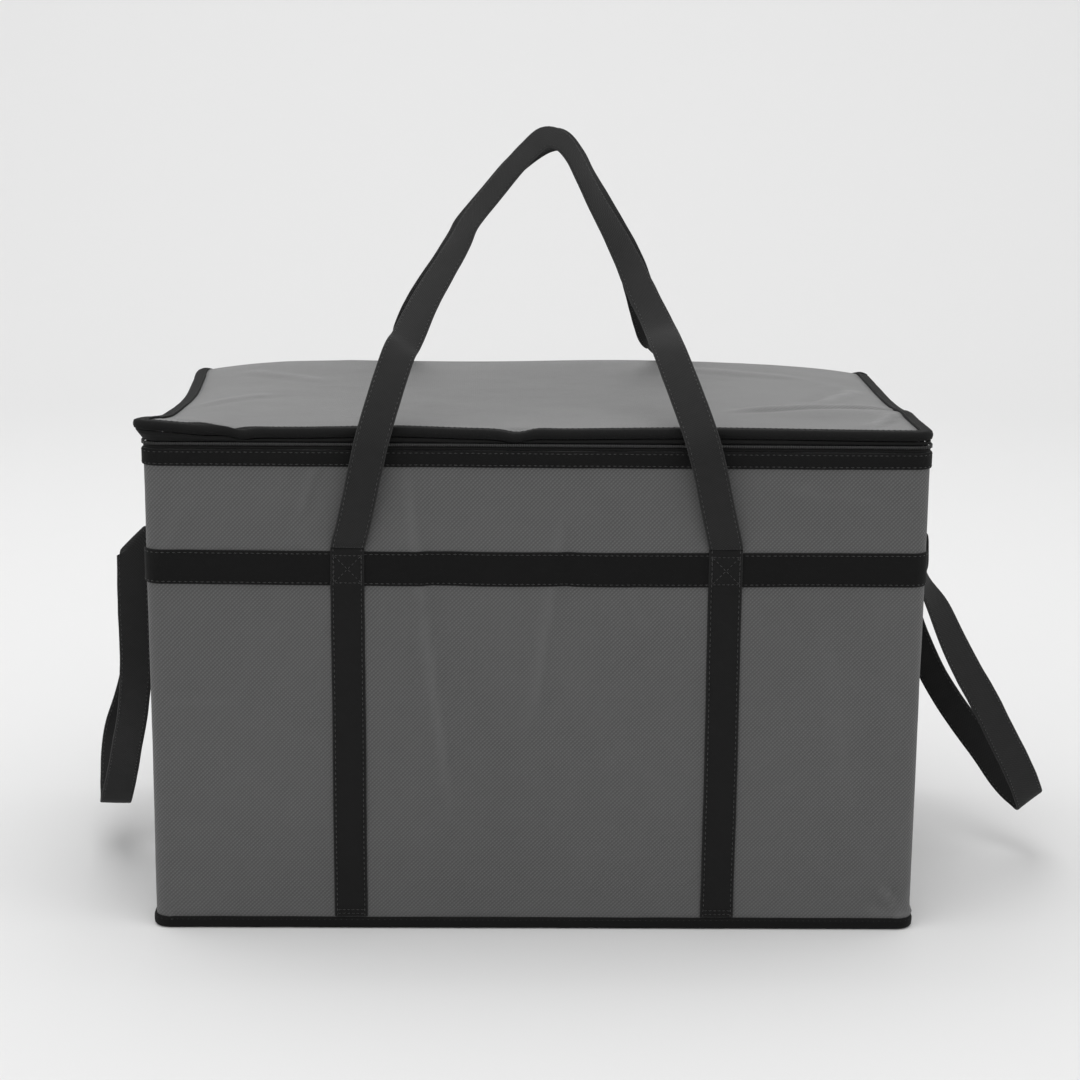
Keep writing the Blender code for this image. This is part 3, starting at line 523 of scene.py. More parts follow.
def ripple(face, along, height):
    """Small unevenness of the cloth, stronger beside the sewn tapes."""
    seams = (STRAP_FOOT - 0.001, WAIST_BAND_FOOT, WAIST_BAND_TOP, RIM_BAND_FOOT)
    near = min(abs(height - seam) for seam in seams)
    if face in (FRONT, BACK):
        near = min(near, abs(abs(along) - STRAP_X + STRAP_WIDTH / 2),
                   abs(abs(along) - STRAP_X - STRAP_WIDTH / 2))
    pucker = math.exp(-(near / 0.012) ** 2)
    broad = noise.noise((along * 11 + face.seed, height * 9, face.seed))
    middle = noise.noise((along * 32 + face.seed, height * 22, face.seed + 3))
    small = noise.noise((along * 120 + face.seed, height * 95, face.seed + 7))
    return 0.0007 * broad + 0.0003 * middle + small * (0.00006 + 0.00022 * pucker)


def wall_point(station, height, out=0.0, fine=False):
    spot, normal, face, along = station
    share = height / BODY_HEIGHT
    offset = out + swell(face, along, height) - BASE_INSET * (1 - min(share, 1.0))
    if fine:
        # Kept a little under the tapes' inner faces
        offset += min(ripple(face, along, height), GAP * 0.5)
    place = spot + normal * offset
    return Vector((place.x, place.y, height - settle(spot.x, spot.y) * share ** 3))


def spaced(start, end, step):
    count = max(1, math.ceil(abs(end - start) / step))
    return [start + (end - start) * index / count for index in range(count + 1)]


def face_stations(face, step, half=None):
    """Stations across a face, or across the middle of it that reaches half to each side."""
    half = face.half if half is None else half
    return [on_face(face, stop) for stop in spaced(-half, half, step)]


def corner(face):
    return [on_corner(face, 90 * index / CORNER_STEPS) for index in range(1, CORNER_STEPS)]


def ring(step=CELL):
    """The whole outline without the repeated end."""
    stations = []
    for face in (FRONT, RIGHT, BACK, LEFT):
        stations += face_stations(face, step) + corner(face)
    return stations


# meshes
STITCH_PITCH, STITCH_LENGTH, THREAD_RADIUS = 0.0042, 0.0030, 0.00032
BOX_STITCH_PITCH, BOX_STITCH_LENGTH = 0.0034, 0.0026
STRAP_HEM, WAIST_HEM, RIM_HEM = 0.0022, 0.0020, 0.0018
PAD_SLACK = 0.0002
LIFT = 0.0001


def unit(vectors):
    return vectors / np.maximum(np.linalg.norm(vectors, axis=-1, keepdims=True), 1e-12)


def normals_of(points, wrap=False):
    if wrap:
        du = np.roll(points, -1, axis=0) - np.roll(points, 1, axis=0)
    else:
        du = np.gradient(points, axis=0)
    return unit(np.cross(du, np.gradient(points, axis=1)))


def running_length(path):
    gaps = np.linalg.norm(np.diff(path, axis=0), axis=1)
    return np.concatenate([[0.0], np.cumsum(gaps)])


def along_path(where, run, values):
    """Values of a path's points, read at lengths along it."""
    return np.stack([np.interp(where, run, values[:, k]) for k in range(3)], axis=-1)


class Build:
    """Collects vertices, faces, flat coordinates, wear and material numbers of a piece."""

    def __init__(self):
        self.verts, self.faces, self.uvs, self.wear, self.kinds = [], [], [], [], []
        self.count = 0

    def add(self, verts, faces, uvs, wear=None, kind=0):
        base = self.count
        self.verts.append(np.asarray(verts, float))
        self.faces += [tuple(base + index for index in face) for face in faces]
        self.uvs.append(np.asarray(uvs, float))
        self.wear.append(np.zeros(len(verts)) if wear is None else np.asarray(wear, float))
        self.kinds += [kind] * len(faces)
        self.count += len(verts)

    def shell(self, outer, inner, wrap=False, wear=None):
        """Closed skin between two grids of points; the outer one faces out."""
        nu, nv = outer.shape[:2]
        du = np.roll(outer, -1, axis=0) - outer
        run = np.concatenate([[0.0], np.cumsum(np.linalg.norm(du.mean(axis=1), axis=1))[:-1]])
        dv = np.linalg.norm(np.diff(outer, axis=1), axis=2).mean(axis=0)
        rise = np.concatenate([[0.0], np.cumsum(dv)])
        uv = np.stack(np.meshgrid(run, rise, indexing="ij"), axis=-1).reshape(-1, 2)
        size = nu * nv
        faces = []
        last = nu if wrap else nu - 1
        for i in range(last):
            a, b = i * nv, ((i + 1) % nu) * nv
            for j in range(nv - 1):
                faces.append((a + j, b + j, b + j + 1, a + j + 1))
                faces.append((size + a + j, size + a + j + 1, size + b + j + 1, size + b + j))
            faces.append((a, size + a, size + b, b))
            faces.append((a + nv - 1, b + nv - 1, size + b + nv - 1, size + a + nv - 1))
        if not wrap:
            for j in range(nv - 1):
                faces.append((j, j + 1, size + j + 1, size + j))
                k = (nu - 1) * nv + j
                faces.append((k, size + k, size + k + 1, k + 1))
        both = np.concatenate([outer.reshape(-1, 3), inner.reshape(-1, 3)])
        if wear is None:
            wear = np.zeros((nu, nv))
        self.add(both, faces, np.concatenate([uv, uv]), np.concatenate([wear.ravel()] * 2))

    def stitches(self, path, ups, pitch=STITCH_PITCH, length=STITCH_LENGTH, wrap=False):
        """Row of thread stitches along a path, lying on a surface with these normals."""
        path, ups = np.asarray(path), np.asarray(ups)
        if wrap:
            path, ups = np.vstack([path, path[:1]]), np.vstack([ups, ups[:1]])
        run = running_length(path)
        count = int(run[-1] / pitch)
        middles = (np.arange(count) + 0.5) * run[-1] / count
        start, centre, end = (along_path(middles + shift, run, path)
                              for shift in (-length / 2, 0.0, length / 2))
        up = unit(along_path(middles, run, ups))
        side = unit(np.cross(end - start, up)) * THREAD_RADIUS
        top = centre + up * THREAD_RADIUS * 1.1
        low = centre - up * THREAD_RADIUS * 0.4
        verts = np.stack([start, end, centre + side, centre - side, top, low], axis=1).reshape(-1, 3)
        cell = ((0, 2, 4), (0, 4, 3), (0, 3, 5), (0, 5, 2), (1, 4, 2), (1, 3, 4), (1, 5, 3), (1, 2, 5))
        faces = [tuple(6 * index + mark for mark in face) for index in range(count) for face in cell]
        self.add(verts, faces, np.zeros((len(verts), 2)), kind=1)

    def piece(self, name, materials, node):
        verts = np.concatenate(self.verts)
        mesh = bpy.data.meshes.new(name)
        mesh.from_pydata(verts.tolist(), [], self.faces)
        layer = mesh.uv_layers.new(name="flat")
        loops = np.zeros(len(mesh.loops), dtype=np.int32)
        mesh.loops.foreach_get("vertex_index", loops)
        layer.data.foreach_set("uv", np.concatenate(self.uvs)[loops].ravel().astype(np.float32))
        worn = mesh.color_attributes.new(name="wear", type="FLOAT_COLOR", domain="POINT")
        level = np.clip(np.concatenate(self.wear), 0.0, 1.0)
        worn.data.foreach_set("color", np.stack([level, level, level, np.ones_like(level)],
                                                axis=1).ravel().astype(np.float32))
        for material in materials:
            mesh.materials.append(material)
        mesh.polygons.foreach_set("material_index", np.asarray(self.kinds, dtype=np.int32))
        mesh.shade_smooth()
        mesh.validate()
        mesh.update()
        item = bpy.data.objects.new(name, mesh)
        bpy.context.scene.collection.objects.link(item)
        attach(item, "root")
        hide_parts(node)
        return item


# pieces
def strip_profile(width, thickness, inner):
    """Stops across a strip, close at its rounded edges, and the share of its thickness there."""
    edge = [0.0, 0.3 * thickness, thickness]
    middle = spaced(thickness, width - thickness, inner)[1:-1]
    stops = [*edge, *middle, *(width - stop for stop in reversed(edge))]
    shares = []
    for stop in stops:
        far = min(stop, width - stop)
        shares.append(1.0 if far >= thickness else 0.3 + 0.7 * math.sin(math.pi / 2 * far / thickness))
    return stops, np.array(shares)


def edge_wear(points, level):
    """Wear along both edges of a strip, whose stops are the second axis."""
    wear = np.zeros(points.shape[:2])
    wear[:, :2] = level
    wear[:, -2:] = level
    return wear


def sew_edges(build, rows, normals, stops, hem, wrap=False):
    """Stitches along both edges of a strip, whose stops are the first axis."""
    width = stops[-1]
    for line in (hem, width - hem):
        index = int(np.argmin([abs(stop - line) for stop in stops]))
        share = (line - stops[index]) / width
        build.stitches(rows[index] + (rows[-1] - rows[0]) * share, normals[index], wrap=wrap)


def sew_run(build, face, start, end, out):
    """Fine stitches on a face between two marks, each given as along and up."""
    path = []
    for share in np.linspace(0.0, 1.0, 13):
        along, up = (first + (last - first) * share for first, last in zip(start, end))
        path.append(wall_point(on_face(face, along), up, out))
    ups = [(face.outward.x, face.outward.y, 0.0)] * len(path)
    build.stitches(path, ups, BOX_STITCH_PITCH, BOX_STITCH_LENGTH)


def wall_line(stations, height, out=0.0):
    """Path on the wall at one height, and its outward directions."""
    path = np.array([wall_point(station, height, out) for station in stations])
    ups = np.array([(station[1].x, station[1].y, 0.0) for station in stations])
    return path, ups


def wall_piece(name, stations, node, material):
    heights = spaced(WALL_FOOT, BODY_HEIGHT, CELL)
    points = np.array([[wall_point(station, height, 0.0, True) for height in heights]
                       for station in stations])
    wear = np.zeros(points.shape[:2])
    for i, (_, _, face, along) in enumerate(stations):
        for j, height in enumerate(heights):
            crease = crease_depth(face.creases, along, height)
            wear[i, j] = max(0.0, -crease * 500) + 0.15 * max(0.0, 1 - height / 0.03)
    build = Build()
    build.shell(points, points - normals_of(points) * (WALL - PAD_SLACK), wear=wear)
    build.piece(name, [material], node)


def wall_strip(build, low, high, hem=None, bulge=0.0, inner=CELL):
    """Tape round the body between two heights, with stitches where it has a hem."""
    stations = ring()
    stops, shares = strip_profile(high - low, TAPE, inner)
    points = np.zeros((len(stations), len(stops), 3))
    for i, station in enumerate(stations):
        sway = 0.00025 * noise.noise((station[0].x * 24, station[0].y * 24, low * 50))
        for j, stop in enumerate(stops):
            extra = bulge * math.sin(math.pi * stop / (high - low))
            points[i, j] = wall_point(station, low + stop + sway, GAP + extra)
    normals = normals_of(points, True)
    outer = points + normals * (TAPE * shares)[None, :, None]
    build.shell(outer, points, True, edge_wear(points, 0.5))
    if hem:
        sew_edges(build, outer.swapaxes(0, 1), normals.swapaxes(0, 1), stops, hem, True)


def make_walls(cloth):
    for name, face, before, after, node, cell in (
            ("front_wall", FRONT, LEFT, RIGHT, "front_panel", CELL),
            ("back_wall", BACK, RIGHT, LEFT, "back_panel", 0.005)):
        laps = (0.0, CORNER_LAP / 2, CORNER_LAP)
        stations = [*(on_face(before, before.half - lap) for lap in reversed(laps)), *corner(before),
                    *face_stations(face, cell), *corner(face),
                    *(on_face(after, lap - after.half) for lap in laps)]
        wall_piece(name, stations, node, cloth)
    for name, face, node in (("left_wall", LEFT, "left_panel"), ("right_wall", RIGHT, "right_panel")):
        wall_piece(name, face_stations(face, CELL, face.half - CORNER_LAP - BUTT_GAP), node, cloth)


def make_base(cloth):
    """Padded base with its edge tucked inside the walls' feet."""
    inset = BASE_INSET + WALL + BUTT_GAP
    outline = [station[0] - station[1] * inset for station in ring(0.006)]
    shares = [0.002, 0.15, 0.3, 0.45, 0.6, 0.72, 0.82, 0.9, 0.95, 0.98, 0.995, 1.0]
    top = np.zeros((len(outline), len(shares), 3))
    low = np.zeros_like(top)
    for i, spot in enumerate(outline):
        for j, share in enumerate(shares):
            x, y = spot * share
            wave = 0.0002 * noise.noise((x * 40, y * 40, 1.0))
            edge = 0.0012 * (1 - min(1.0, (1 - share) * 60)) ** 2
            top[i, j] = (x, y, WALL - 0.0003 + wave - edge)
            low[i, j] = (x, y, edge)
    build = Build()
    build.shell(low[:, ::-1], top[:, ::-1], wrap=True)
    build.piece("base_pad", [cloth], "base_panel")


def make_bands(tape, thread):
    for name, node, low, high, hem in (
            ("waist_tape", "waist_band", WAIST_BAND_FOOT, WAIST_BAND_TOP, WAIST_HEM),
            ("rim_tape", "rim_band", RIM_BAND_FOOT, BODY_HEIGHT, RIM_HEM)):
        build = Build()
        wall_strip(build, low, high, hem)
        build.piece(name, [tape, thread], node)
    build = Build()
    wall_strip(build, WALL_FOOT, BASE_BINDING_HEIGHT, bulge=0.0006, inner=0.0016)
    path, ups = wall_line(ring(), BASE_BINDING_HEIGHT - RIM_HEM, GAP + TAPE + 2 * LIFT)
    build.stitches(path, ups, wrap=True)
    build.piece("base_tape", [tape, thread], "base_binding")


def strap_out(height):
    """How far an upright strap stands off the wall: flat, then up over the waist band."""
    share = smooth((height - RAMP_FOOT) / (WAIST_BAND_FOOT - RAMP_FOOT))
    return GAP + (OVER_BAND - GAP) * share


def sew_strap(build, face, middle):
    """Square with a cross where a strap is sewn on the waist band, and two rows at its foot."""
    out = OVER_BAND + STRAP + LIFT
    half = STRAP_WIDTH / 2 - 0.0024
    left, right = middle - half, middle + half
    low, high = WAIST_BAND_FOOT + 0.0028, WAIST_BAND_TOP - 0.0026
    marks = [(left, low), (right, low), (right, high), (left, high), (left, low), (right, high)]
    for start, end in [*zip(marks, marks[1:]), ((left, high), (right, low))]:
        sew_run(build, face, start, end, out)
    for up in (STRAP_FOOT + 0.003, STRAP_FOOT + 0.006):
        sew_run(build, face, (middle - 0.0105, up), (middle + 0.0105, up), out - OVER_BAND + GAP)


def make_strap(face, middle, name, node, tape, thread):
    stops, shares = strip_profile(STRAP_WIDTH, STRAP, 0.0032)
    heights = [*spaced(STRAP_FOOT, RAMP_FOOT, CELL),
               *spaced(RAMP_FOOT, WAIST_BAND_FOOT, 0.0012)[1:],
               *spaced(WAIST_BAND_FOOT, STRAP_TOP + BUTT_GAP, 0.003)[1:]]
    points = np.zeros((len(stops), len(heights), 3))
    for j, height in enumerate(heights):
        sway = 0.0006 * noise.noise((height * 9, middle * 30, 2.0))
        edge = 0.0003 * noise.noise((height * 40, middle * 30, 5.0))
        for i, stop in enumerate(stops):
            aside = (stop - STRAP_WIDTH / 2) * (1 + edge / STRAP_WIDTH)
            points[i, j] = wall_point(on_face(face, middle + sway + aside), height, strap_out(height))
    normals = normals_of(points)
    ends = np.ones(len(heights))
    ends[0] = 0.4
    outer = points + normals * (STRAP * shares)[:, None, None] * ends[None, :, None]
    build = Build()
    build.shell(outer, points, wear=edge_wear(points.swapaxes(0, 1), 0.6).T)
    sew_edges(build, outer, normals, stops, STRAP_HEM)
    sew_strap(build, face, middle)
    build.piece(name, [tape, thread], node)


def make_straps(tape, thread):
    for face, label, turn in ((FRONT, "front", 1), (BACK, "back", -1)):
        for side, middle in (("left", -STRAP_X * turn), ("right", STRAP_X * turn)):
            make_strap(face, middle, f"{label}_{side}_strap", f"{label}_strap_{side}", tape, thread)


def smooth_path(points, steps=7):
    rows = [Vector(point) for point in points]
    ends = [rows[0] * 2 - rows[1], *rows, rows[-1] * 2 - rows[-2]]
    path = []
    for before, start, end, after in zip(ends, ends[1:], ends[2:], ends[3:]):
        for step in range(steps):
            t = step / steps
            linear = (end - before) * t
            square = (before * 2 - start * 5 + end * 4 - after) * t * t
            cube = (start * 3 - before - end * 3 + after) * t ** 3
            path.append(start + (linear + square + cube) / 2)
    return [*path, rows[-1]]


def ribbon(name, points, widths, tape, thread, node, crown=0.0004):
    """Strap along points, with stitches on both of its faces."""
    points = np.array([tuple(point) for point in points])
    widths = np.array([tuple(width) for width in widths])
    ups = unit(np.cross(unit(np.gradient(points, axis=0)), widths))
    stops, shares = strip_profile(STRAP_WIDTH, STRAP / 2, 0.0026)

    def across(stop, lift=0.0):
        share = stop / STRAP_WIDTH - 0.5
        return points + widths * (share * STRAP_WIDTH) + ups * (crown * (1 - 4 * share * share) + lift)
    middle = np.stack([across(stop) for stop in stops], axis=1)
    edge = np.array([0.0003 * noise.noise(point * 60) for point in points])[:, None, None]
    middle[:, :3] += widths[:, None] * edge
    middle[:, -3:] += widths[:, None] * edge
    lift = ups[:, None, :] * (STRAP / 2 * shares)[None, :, None]
    build = Build()
    build.shell(middle + lift, middle - lift, wear=edge_wear(middle, 0.7))
    for line in (STRAP_HEM, STRAP_WIDTH - STRAP_HEM):
        for side in (1, -1):
            build.stitches(across(line, side * STRAP / 2), ups * side)
    build.piece(name, [tape, thread], node)


def make_top_handle(name, node, face, bends, tape, thread):
    foot = STRAP_TOP + BUTT_GAP
    out = OVER_BAND + STRAP / 2
    side = -1 if face is FRONT else 1
    ends = [wall_point(on_face(face, side * x), foot, out) for x in (STRAP_X, -STRAP_X)]
    rows = [(*ends[0], 0.0)]
    for across, back, up, twist in bends:
        rows.append((across * STRAP_X, back * HALF_DEPTH, foot + up * HANDLE_RISE,
                     math.radians(twist)))
    rows.append((*ends[1], math.radians(bends[-1][3])))
    path = smooth_path(rows)
    points = [Vector(row[:3]) for row in path]
    ways = [(after - before).normalized()
            for before, after in zip([points[0], *points], [*points[1:], points[-1]])]
    ways[0], ways[-1] = Vector((0.0, 0.0, 1.0)), Vector((0.0, 0.0, -1.0))
    widths = []
    for row, travel in zip(path, ways):
        flat = travel.cross(Vector((0.0, 1.0, 0.0))).normalized()
        deep = flat.cross(travel)
        widths.append(flat * math.cos(row[3]) + deep * math.sin(row[3]))
    ribbon(name, points, widths, tape, thread, node)


def make_side_handle(name, node, face, folds, bends, tape, thread):
    outward = face.outward.to_3d()
    back = Vector((0.0, 1.0, 0.0))
    down = Vector((0.0, 0.0, -1.0))
    side = 1 if face.along.y > 0 else -1
    wall = face.reach + face.bulge + OVER_BAND + TAB_GAP + STRAP / 2
    half_spread = SIDE_HANDLE_SPREAD / 2
    middle = outward * wall - down * WAIST_BAND_MIDDLE

    def tab_row(distance):
        seat = on_face(face, side * distance)
        out = OVER_BAND + TAB_GAP + STRAP / 2
        low = wall_point(seat, WAIST_BAND_FOOT, out)
        high = wall_point(seat, WAIST_BAND_TOP, out)
        lean = math.atan2(high.z - low.z, (low - high).dot(outward))
        return (*((low + high) / 2), lean, 0.0)

    def end_rows(end, inner):
        centre = middle + back * end * half_spread
        turn = half_spread + SIDE_TURN
        if inner is None:
            way, layer, yaw = back * -end, outward, math.pi / 2 * -end
            turn += STRAP_WIDTH / 2
        else:
            way, layer, yaw = outward, back * end, 0.0
            centre += outward * (inner + STRAP_WIDTH / 2)
        rows = [tab_row(end * (turn + SIDE_TAB)), tab_row(end * turn)]
        for along_way, over, drop, tilt in FOLD:
            place = centre + way * along_way + layer * over + down * drop
            rows.append((*place, math.radians(tilt), yaw))
        return rows
    rows = end_rows(-1, folds[0])
    for out, along, drop, tilt, yaw in bends:
        place = middle + outward * out * SIDE_HANDLE_REACH + back * along * half_spread
        place += down * drop * SIDE_HANDLE_DROP
        rows.append((*place, math.radians(tilt), math.radians(yaw)))
    rows += end_rows(1, folds[1])[::-1]
    path = smooth_path(rows, 5)
    points = [Vector(row[:3]) for row in path]
    widths = []
    for row, start, end in zip(path, [points[0], *points], [points[1], *points[1:]]):
        tilt, yaw = row[3:]
        inward = outward * -math.cos(yaw) + back * -math.sin(yaw)
        width = inward * math.cos(tilt) - down * math.sin(tilt)
        travel = (end - start).normalized()
        widths.append(width / width.cross(travel).length)
    ribbon(name, points, widths, tape, thread, node, crown=0.0002)


# lid and zip
ZIP_STEP, ZIP_TAPE = 0.005, 0.001
COIL_OUT, COIL_UP, COIL_SIDES = 0.0008, 0.0009, 8
TOOTH_PITCH, TOOTH_WIDTH, TOOTH_REACH, TOOTH_HEIGHT = 0.0017, 0.00096, 0.00135, 0.0024
LID_END = HALF_WIDTH + LID_REACH
LID_FRONT = HALF_DEPTH + LID_REACH
LID_ROUND = 0.013


def lid_edge(back, face):
    inside = min(abs(back), face.half)
    along = math.copysign(inside, back) * face.along.y
    reach = HALF_WIDTH + LID_REACH + swell(face, along, BODY_HEIGHT)
    into = back - (HALF_DEPTH - CORNER_RADIUS)
    if into <= 0:
        return reach
    drop = CORNER_RADIUS - math.sqrt(max(CORNER_RADIUS ** 2 - into ** 2, 0.0))
    return reach - drop - GAP


def corner_curl(x, y):
    return smooth(1 - Vector((x + HALF_WIDTH, y + HALF_DEPTH)).length / LID_CURL_REACH)


def lid_rise(x, y):
    total = -settle(x, y)
    for across, back, long, wide, turn, rise in LID_HUMPS:
        turn = math.radians(turn)
        aside, behind = x - across * HALF_WIDTH, y - back * HALF_DEPTH
        run = (aside * math.cos(turn) + behind * math.sin(turn)) / (long * HALF_DEPTH)
        width = (behind * math.cos(turn) - aside * math.sin(turn)) / (wide * HALF_DEPTH)
        total += rise * LID * math.exp(-run * run - width * width)
    return total + LID_CORNER_CURL * corner_curl(x, y)


def lid_place(column, back, drop, fine=True):
    """Point of the lid's upper face: column from -LID_END to LID_END, back, drop at the fold."""
    y = back
    # The two front corners are rounded
    a = max(0.0, abs(column) - (LID_END - LID_ROUND)) / LID_ROUND
    b = max(0.0, -back - (LID_FRONT - LID_ROUND)) / LID_ROUND
    if a > 0 and b > 0:
        column = math.copysign(LID_END - LID_ROUND + LID_ROUND * a * math.sqrt(1 - b * b / 2), column)
        y = -(LID_FRONT - LID_ROUND + LID_ROUND * b * math.sqrt(1 - a * a / 2))
    x = column * lid_edge(y, RIGHT if column > 0 else LEFT) / LID_END
    flare = LID_CORNER_FLARE * corner_curl(x, y)
    share = 1 - drop / (LID_TOP - BODY_HEIGHT)
    rise = lid_rise(x, y) if share > 0.05 else -settle(x, y)
    if fine and drop == 0:
        inside = smooth((LID_END - abs(column)) / 0.012) * smooth((LID_FRONT + back) / 0.012)
        rise += crease_depth(LID_CREASES, x, y)
        rise += inside * (0.0009 * noise.noise((x * 10, y * 10, 4.0))
                          + 0.0004 * noise.noise((x * 30, y * 30, 9.0)))
        rise += 0.00012 * noise.noise((x * 110, y * 110, 12.0))
    return Vector((x - flare, y - flare / 2, LID_TOP - drop + rise))


def lid_rows():
    fold = HALF_DEPTH - LID_FOLD_RADIUS
    rows = [(back, 0.0) for back in spaced(-LID_FRONT, fold, CELL)]
    for angle in range(10, 91, 10):
        turn = math.radians(angle)
        rows.append((fold + LID_FOLD_RADIUS * math.sin(turn), LID_FOLD_RADIUS * (1 - math.cos(turn))))
    rows.append((HALF_DEPTH, LID_TOP - BODY_HEIGHT - GAP))
    return rows


def make_lid(cloth):
    columns = spaced(-LID_END, LID_END, CELL)
    points = np.array([[lid_place(column, *row) for row in lid_rows()] for column in columns])
    normals = normals_of(points)
    # At the edges the under side stays straight below the upper one, inside the binding
    normals[:3, :, 0] = 0
    normals[-3:, :, 0] = 0
    normals[:, :3, 1] = 0
    wear = np.array([[max(0.0, crease_depth(LID_CREASES, p[0], p[1])) * 350 for p in line]
                     for line in points])
    build = Build()
    build.shell(points, points - unit(normals) * (LID - PAD_SLACK), wear=wear)
    build.piece("lid_pad", [cloth], "lid_panel")


def lid_outline(step):
    """Columns and rows along the lid's edge, from the back left round the front."""
    fold = HALF_DEPTH - LID_FOLD_RADIUS
    round_steps = [LID_ROUND * k / 4 for k in range(4)]
    left = [(-LID_END, back) for back in spaced(fold, -LID_FRONT + LID_ROUND, step)]
    left += [(-LID_END, -LID_FRONT + LID_ROUND - part) for part in round_steps[1:]]
    first = [(-LID_END + part, -LID_FRONT) for part in round_steps]
    front = [(column, -LID_FRONT)
             for column in spaced(-LID_END + LID_ROUND, LID_END - LID_ROUND, step)]
    right = [(-column, back) for column, back in reversed([*left, *first])]
    return [*left, *first, *front, *right]


def make_lid_binding(tape, thread):
    """Tape folded round the lid's edge, sewn through near its inner edge."""
    edge = np.array([lid_place(column, back, 0.0) for column, back in lid_outline(CELL)])
    travel = unit(np.gradient(edge * (1.0, 1.0, 0.0), axis=0))
    inward = np.stack([-travel[:, 1], travel[:, 0], np.zeros(len(edge))], axis=1)

    def level(share, rise):
        """The lid's upper face at a share of the binding's width from the edge, raised."""
        spots = edge + inward * LID_BINDING_WIDTH * share
        return np.column_stack([spots[:, :2], [surface_below(spot) + rise for spot in spots]])

    def tip(out, rise):
        return edge - inward * out + (0.0, 0.0, rise)
    shares = (1.0, 0.66, 0.33, 0.12)
    out = TAPE + GAP
    under = LID + LID_UNDER_GAP
    rows_top = [level(share, GAP + TAPE) for share in shares]
    outer = np.stack([*rows_top, tip(out * 0.55, TAPE * 0.6), tip(out, -LID * 0.3),
                      tip(out, -LID * 0.75), tip(out * 0.55, -under),
                      *(level(share, -under - TAPE * 0.6) for share in reversed(shares))], axis=1)
    swing = np.array([0.00015 * noise.noise((p[0] * 60, p[1] * 60, 3.0)) for p in edge])
    outer[:, :, 2] += swing[:, None]
    inner = np.stack([*(level(share, GAP * 0.5) for share in shares),
                      tip(GAP * 0.5, -LID * 0.1), tip(GAP, -LID * 0.35),
                      tip(GAP, -LID * 0.65), tip(GAP * 0.5, -LID * 0.9),
                      *(level(share, -LID - GAP * 0.5) for share in reversed(shares))], axis=1)
    wear = np.zeros(outer.shape[:2])
    wear[:, [0, 4, 5]] = 0.5
    build = Build()
    build.shell(inner, outer, wear=wear)
    path = (rows_top[0] + rows_top[1]) / 2 + (0.0, 0.0, LIFT)
    build.stitches(path, np.tile((0.0, 0.0, 1.0), (len(path), 1)))
    corner_knobs(build)
    build.piece("lid_tape", [tape, thread], "lid_binding")


def surface_below(spot):
    """Height of the lid's upper face at a place in plan."""
    flare = LID_CORNER_FLARE * corner_curl(spot[0], spot[1])
    x, y = spot[0] + flare, spot[1] + flare / 2
    return LID_TOP + lid_rise(x, y) + crease_depth(LID_CREASES, x, y)


def corner_knobs(build):
    """The binding's two ends, folded down over the back corners."""
    for side in (-1, 1):
        rings = []
        face = RIGHT if side > 0 else LEFT
        for step in range(7):
            turn = math.radians(90 * step / 6)
            back = HALF_DEPTH - LID_FOLD_RADIUS + (LID_FOLD_RADIUS + 0.0012) * math.sin(turn)
            drop = (LID_FOLD_RADIUS + 0.001) * (1 - math.cos(turn)) - 0.0014
            line = []
            for share in (0.0, 0.25, 0.5, 0.75, 1.0):
                x = side * (lid_edge(min(back, HALF_DEPTH - 0.0005), face) + 0.0012
                            - share * LID_BINDING_WIDTH)
                puff = 0.0012 * math.sin(math.pi * share)
                line.append((x, back + puff * math.sin(turn),
                             LID_TOP - drop - settle(x, back) + puff * math.cos(turn)))
            rings.append(line)
        outer = np.array(rings)
        inner = outer - (0.0, 0.0018, 0.0018)
        if side > 0:
            outer, inner = outer[:, ::-1], inner[:, ::-1]
        build.shell(outer, inner)


def make_zip_tapes(ribbed, stations):
    rows = np.array([[wall_point(station, BODY_HEIGHT + GAP + part, -ZIP_TAPE)
                      for part in (0.0, ZIP_TAPE_LOWER / 2, ZIP_TAPE_LOWER)] for station in stations])
    build = Build()
    build.shell(rows + normals_of(rows) * ZIP_TAPE, rows)
    build.piece("zip_cloth_lower", [ribbed], "zip_tape_lower")
    rows = []
    for column, back in lid_outline(ZIP_STEP):
        x, y, _ = lid_place(column, back, 0.0, False)
        low = UPPER_TAPE_FOOT - settle(x, y)
        top = Vector((x, y, max(surface_below((x, y)) - LID - LID_UNDER_GAP - TAPE, low + GAP)))
        flare = LID_CORNER_FLARE * corner_curl(x, y)
        foot = Vector((x + flare, y + flare / 2, low))
        rows.append([foot, (foot + top) / 2, top])
    rows = np.array(rows)
    build = Build()
    build.shell(rows, rows - normals_of(rows) * ZIP_TAPE)
    build.piece("zip_cloth_upper", [ribbed], "zip_tape_upper")


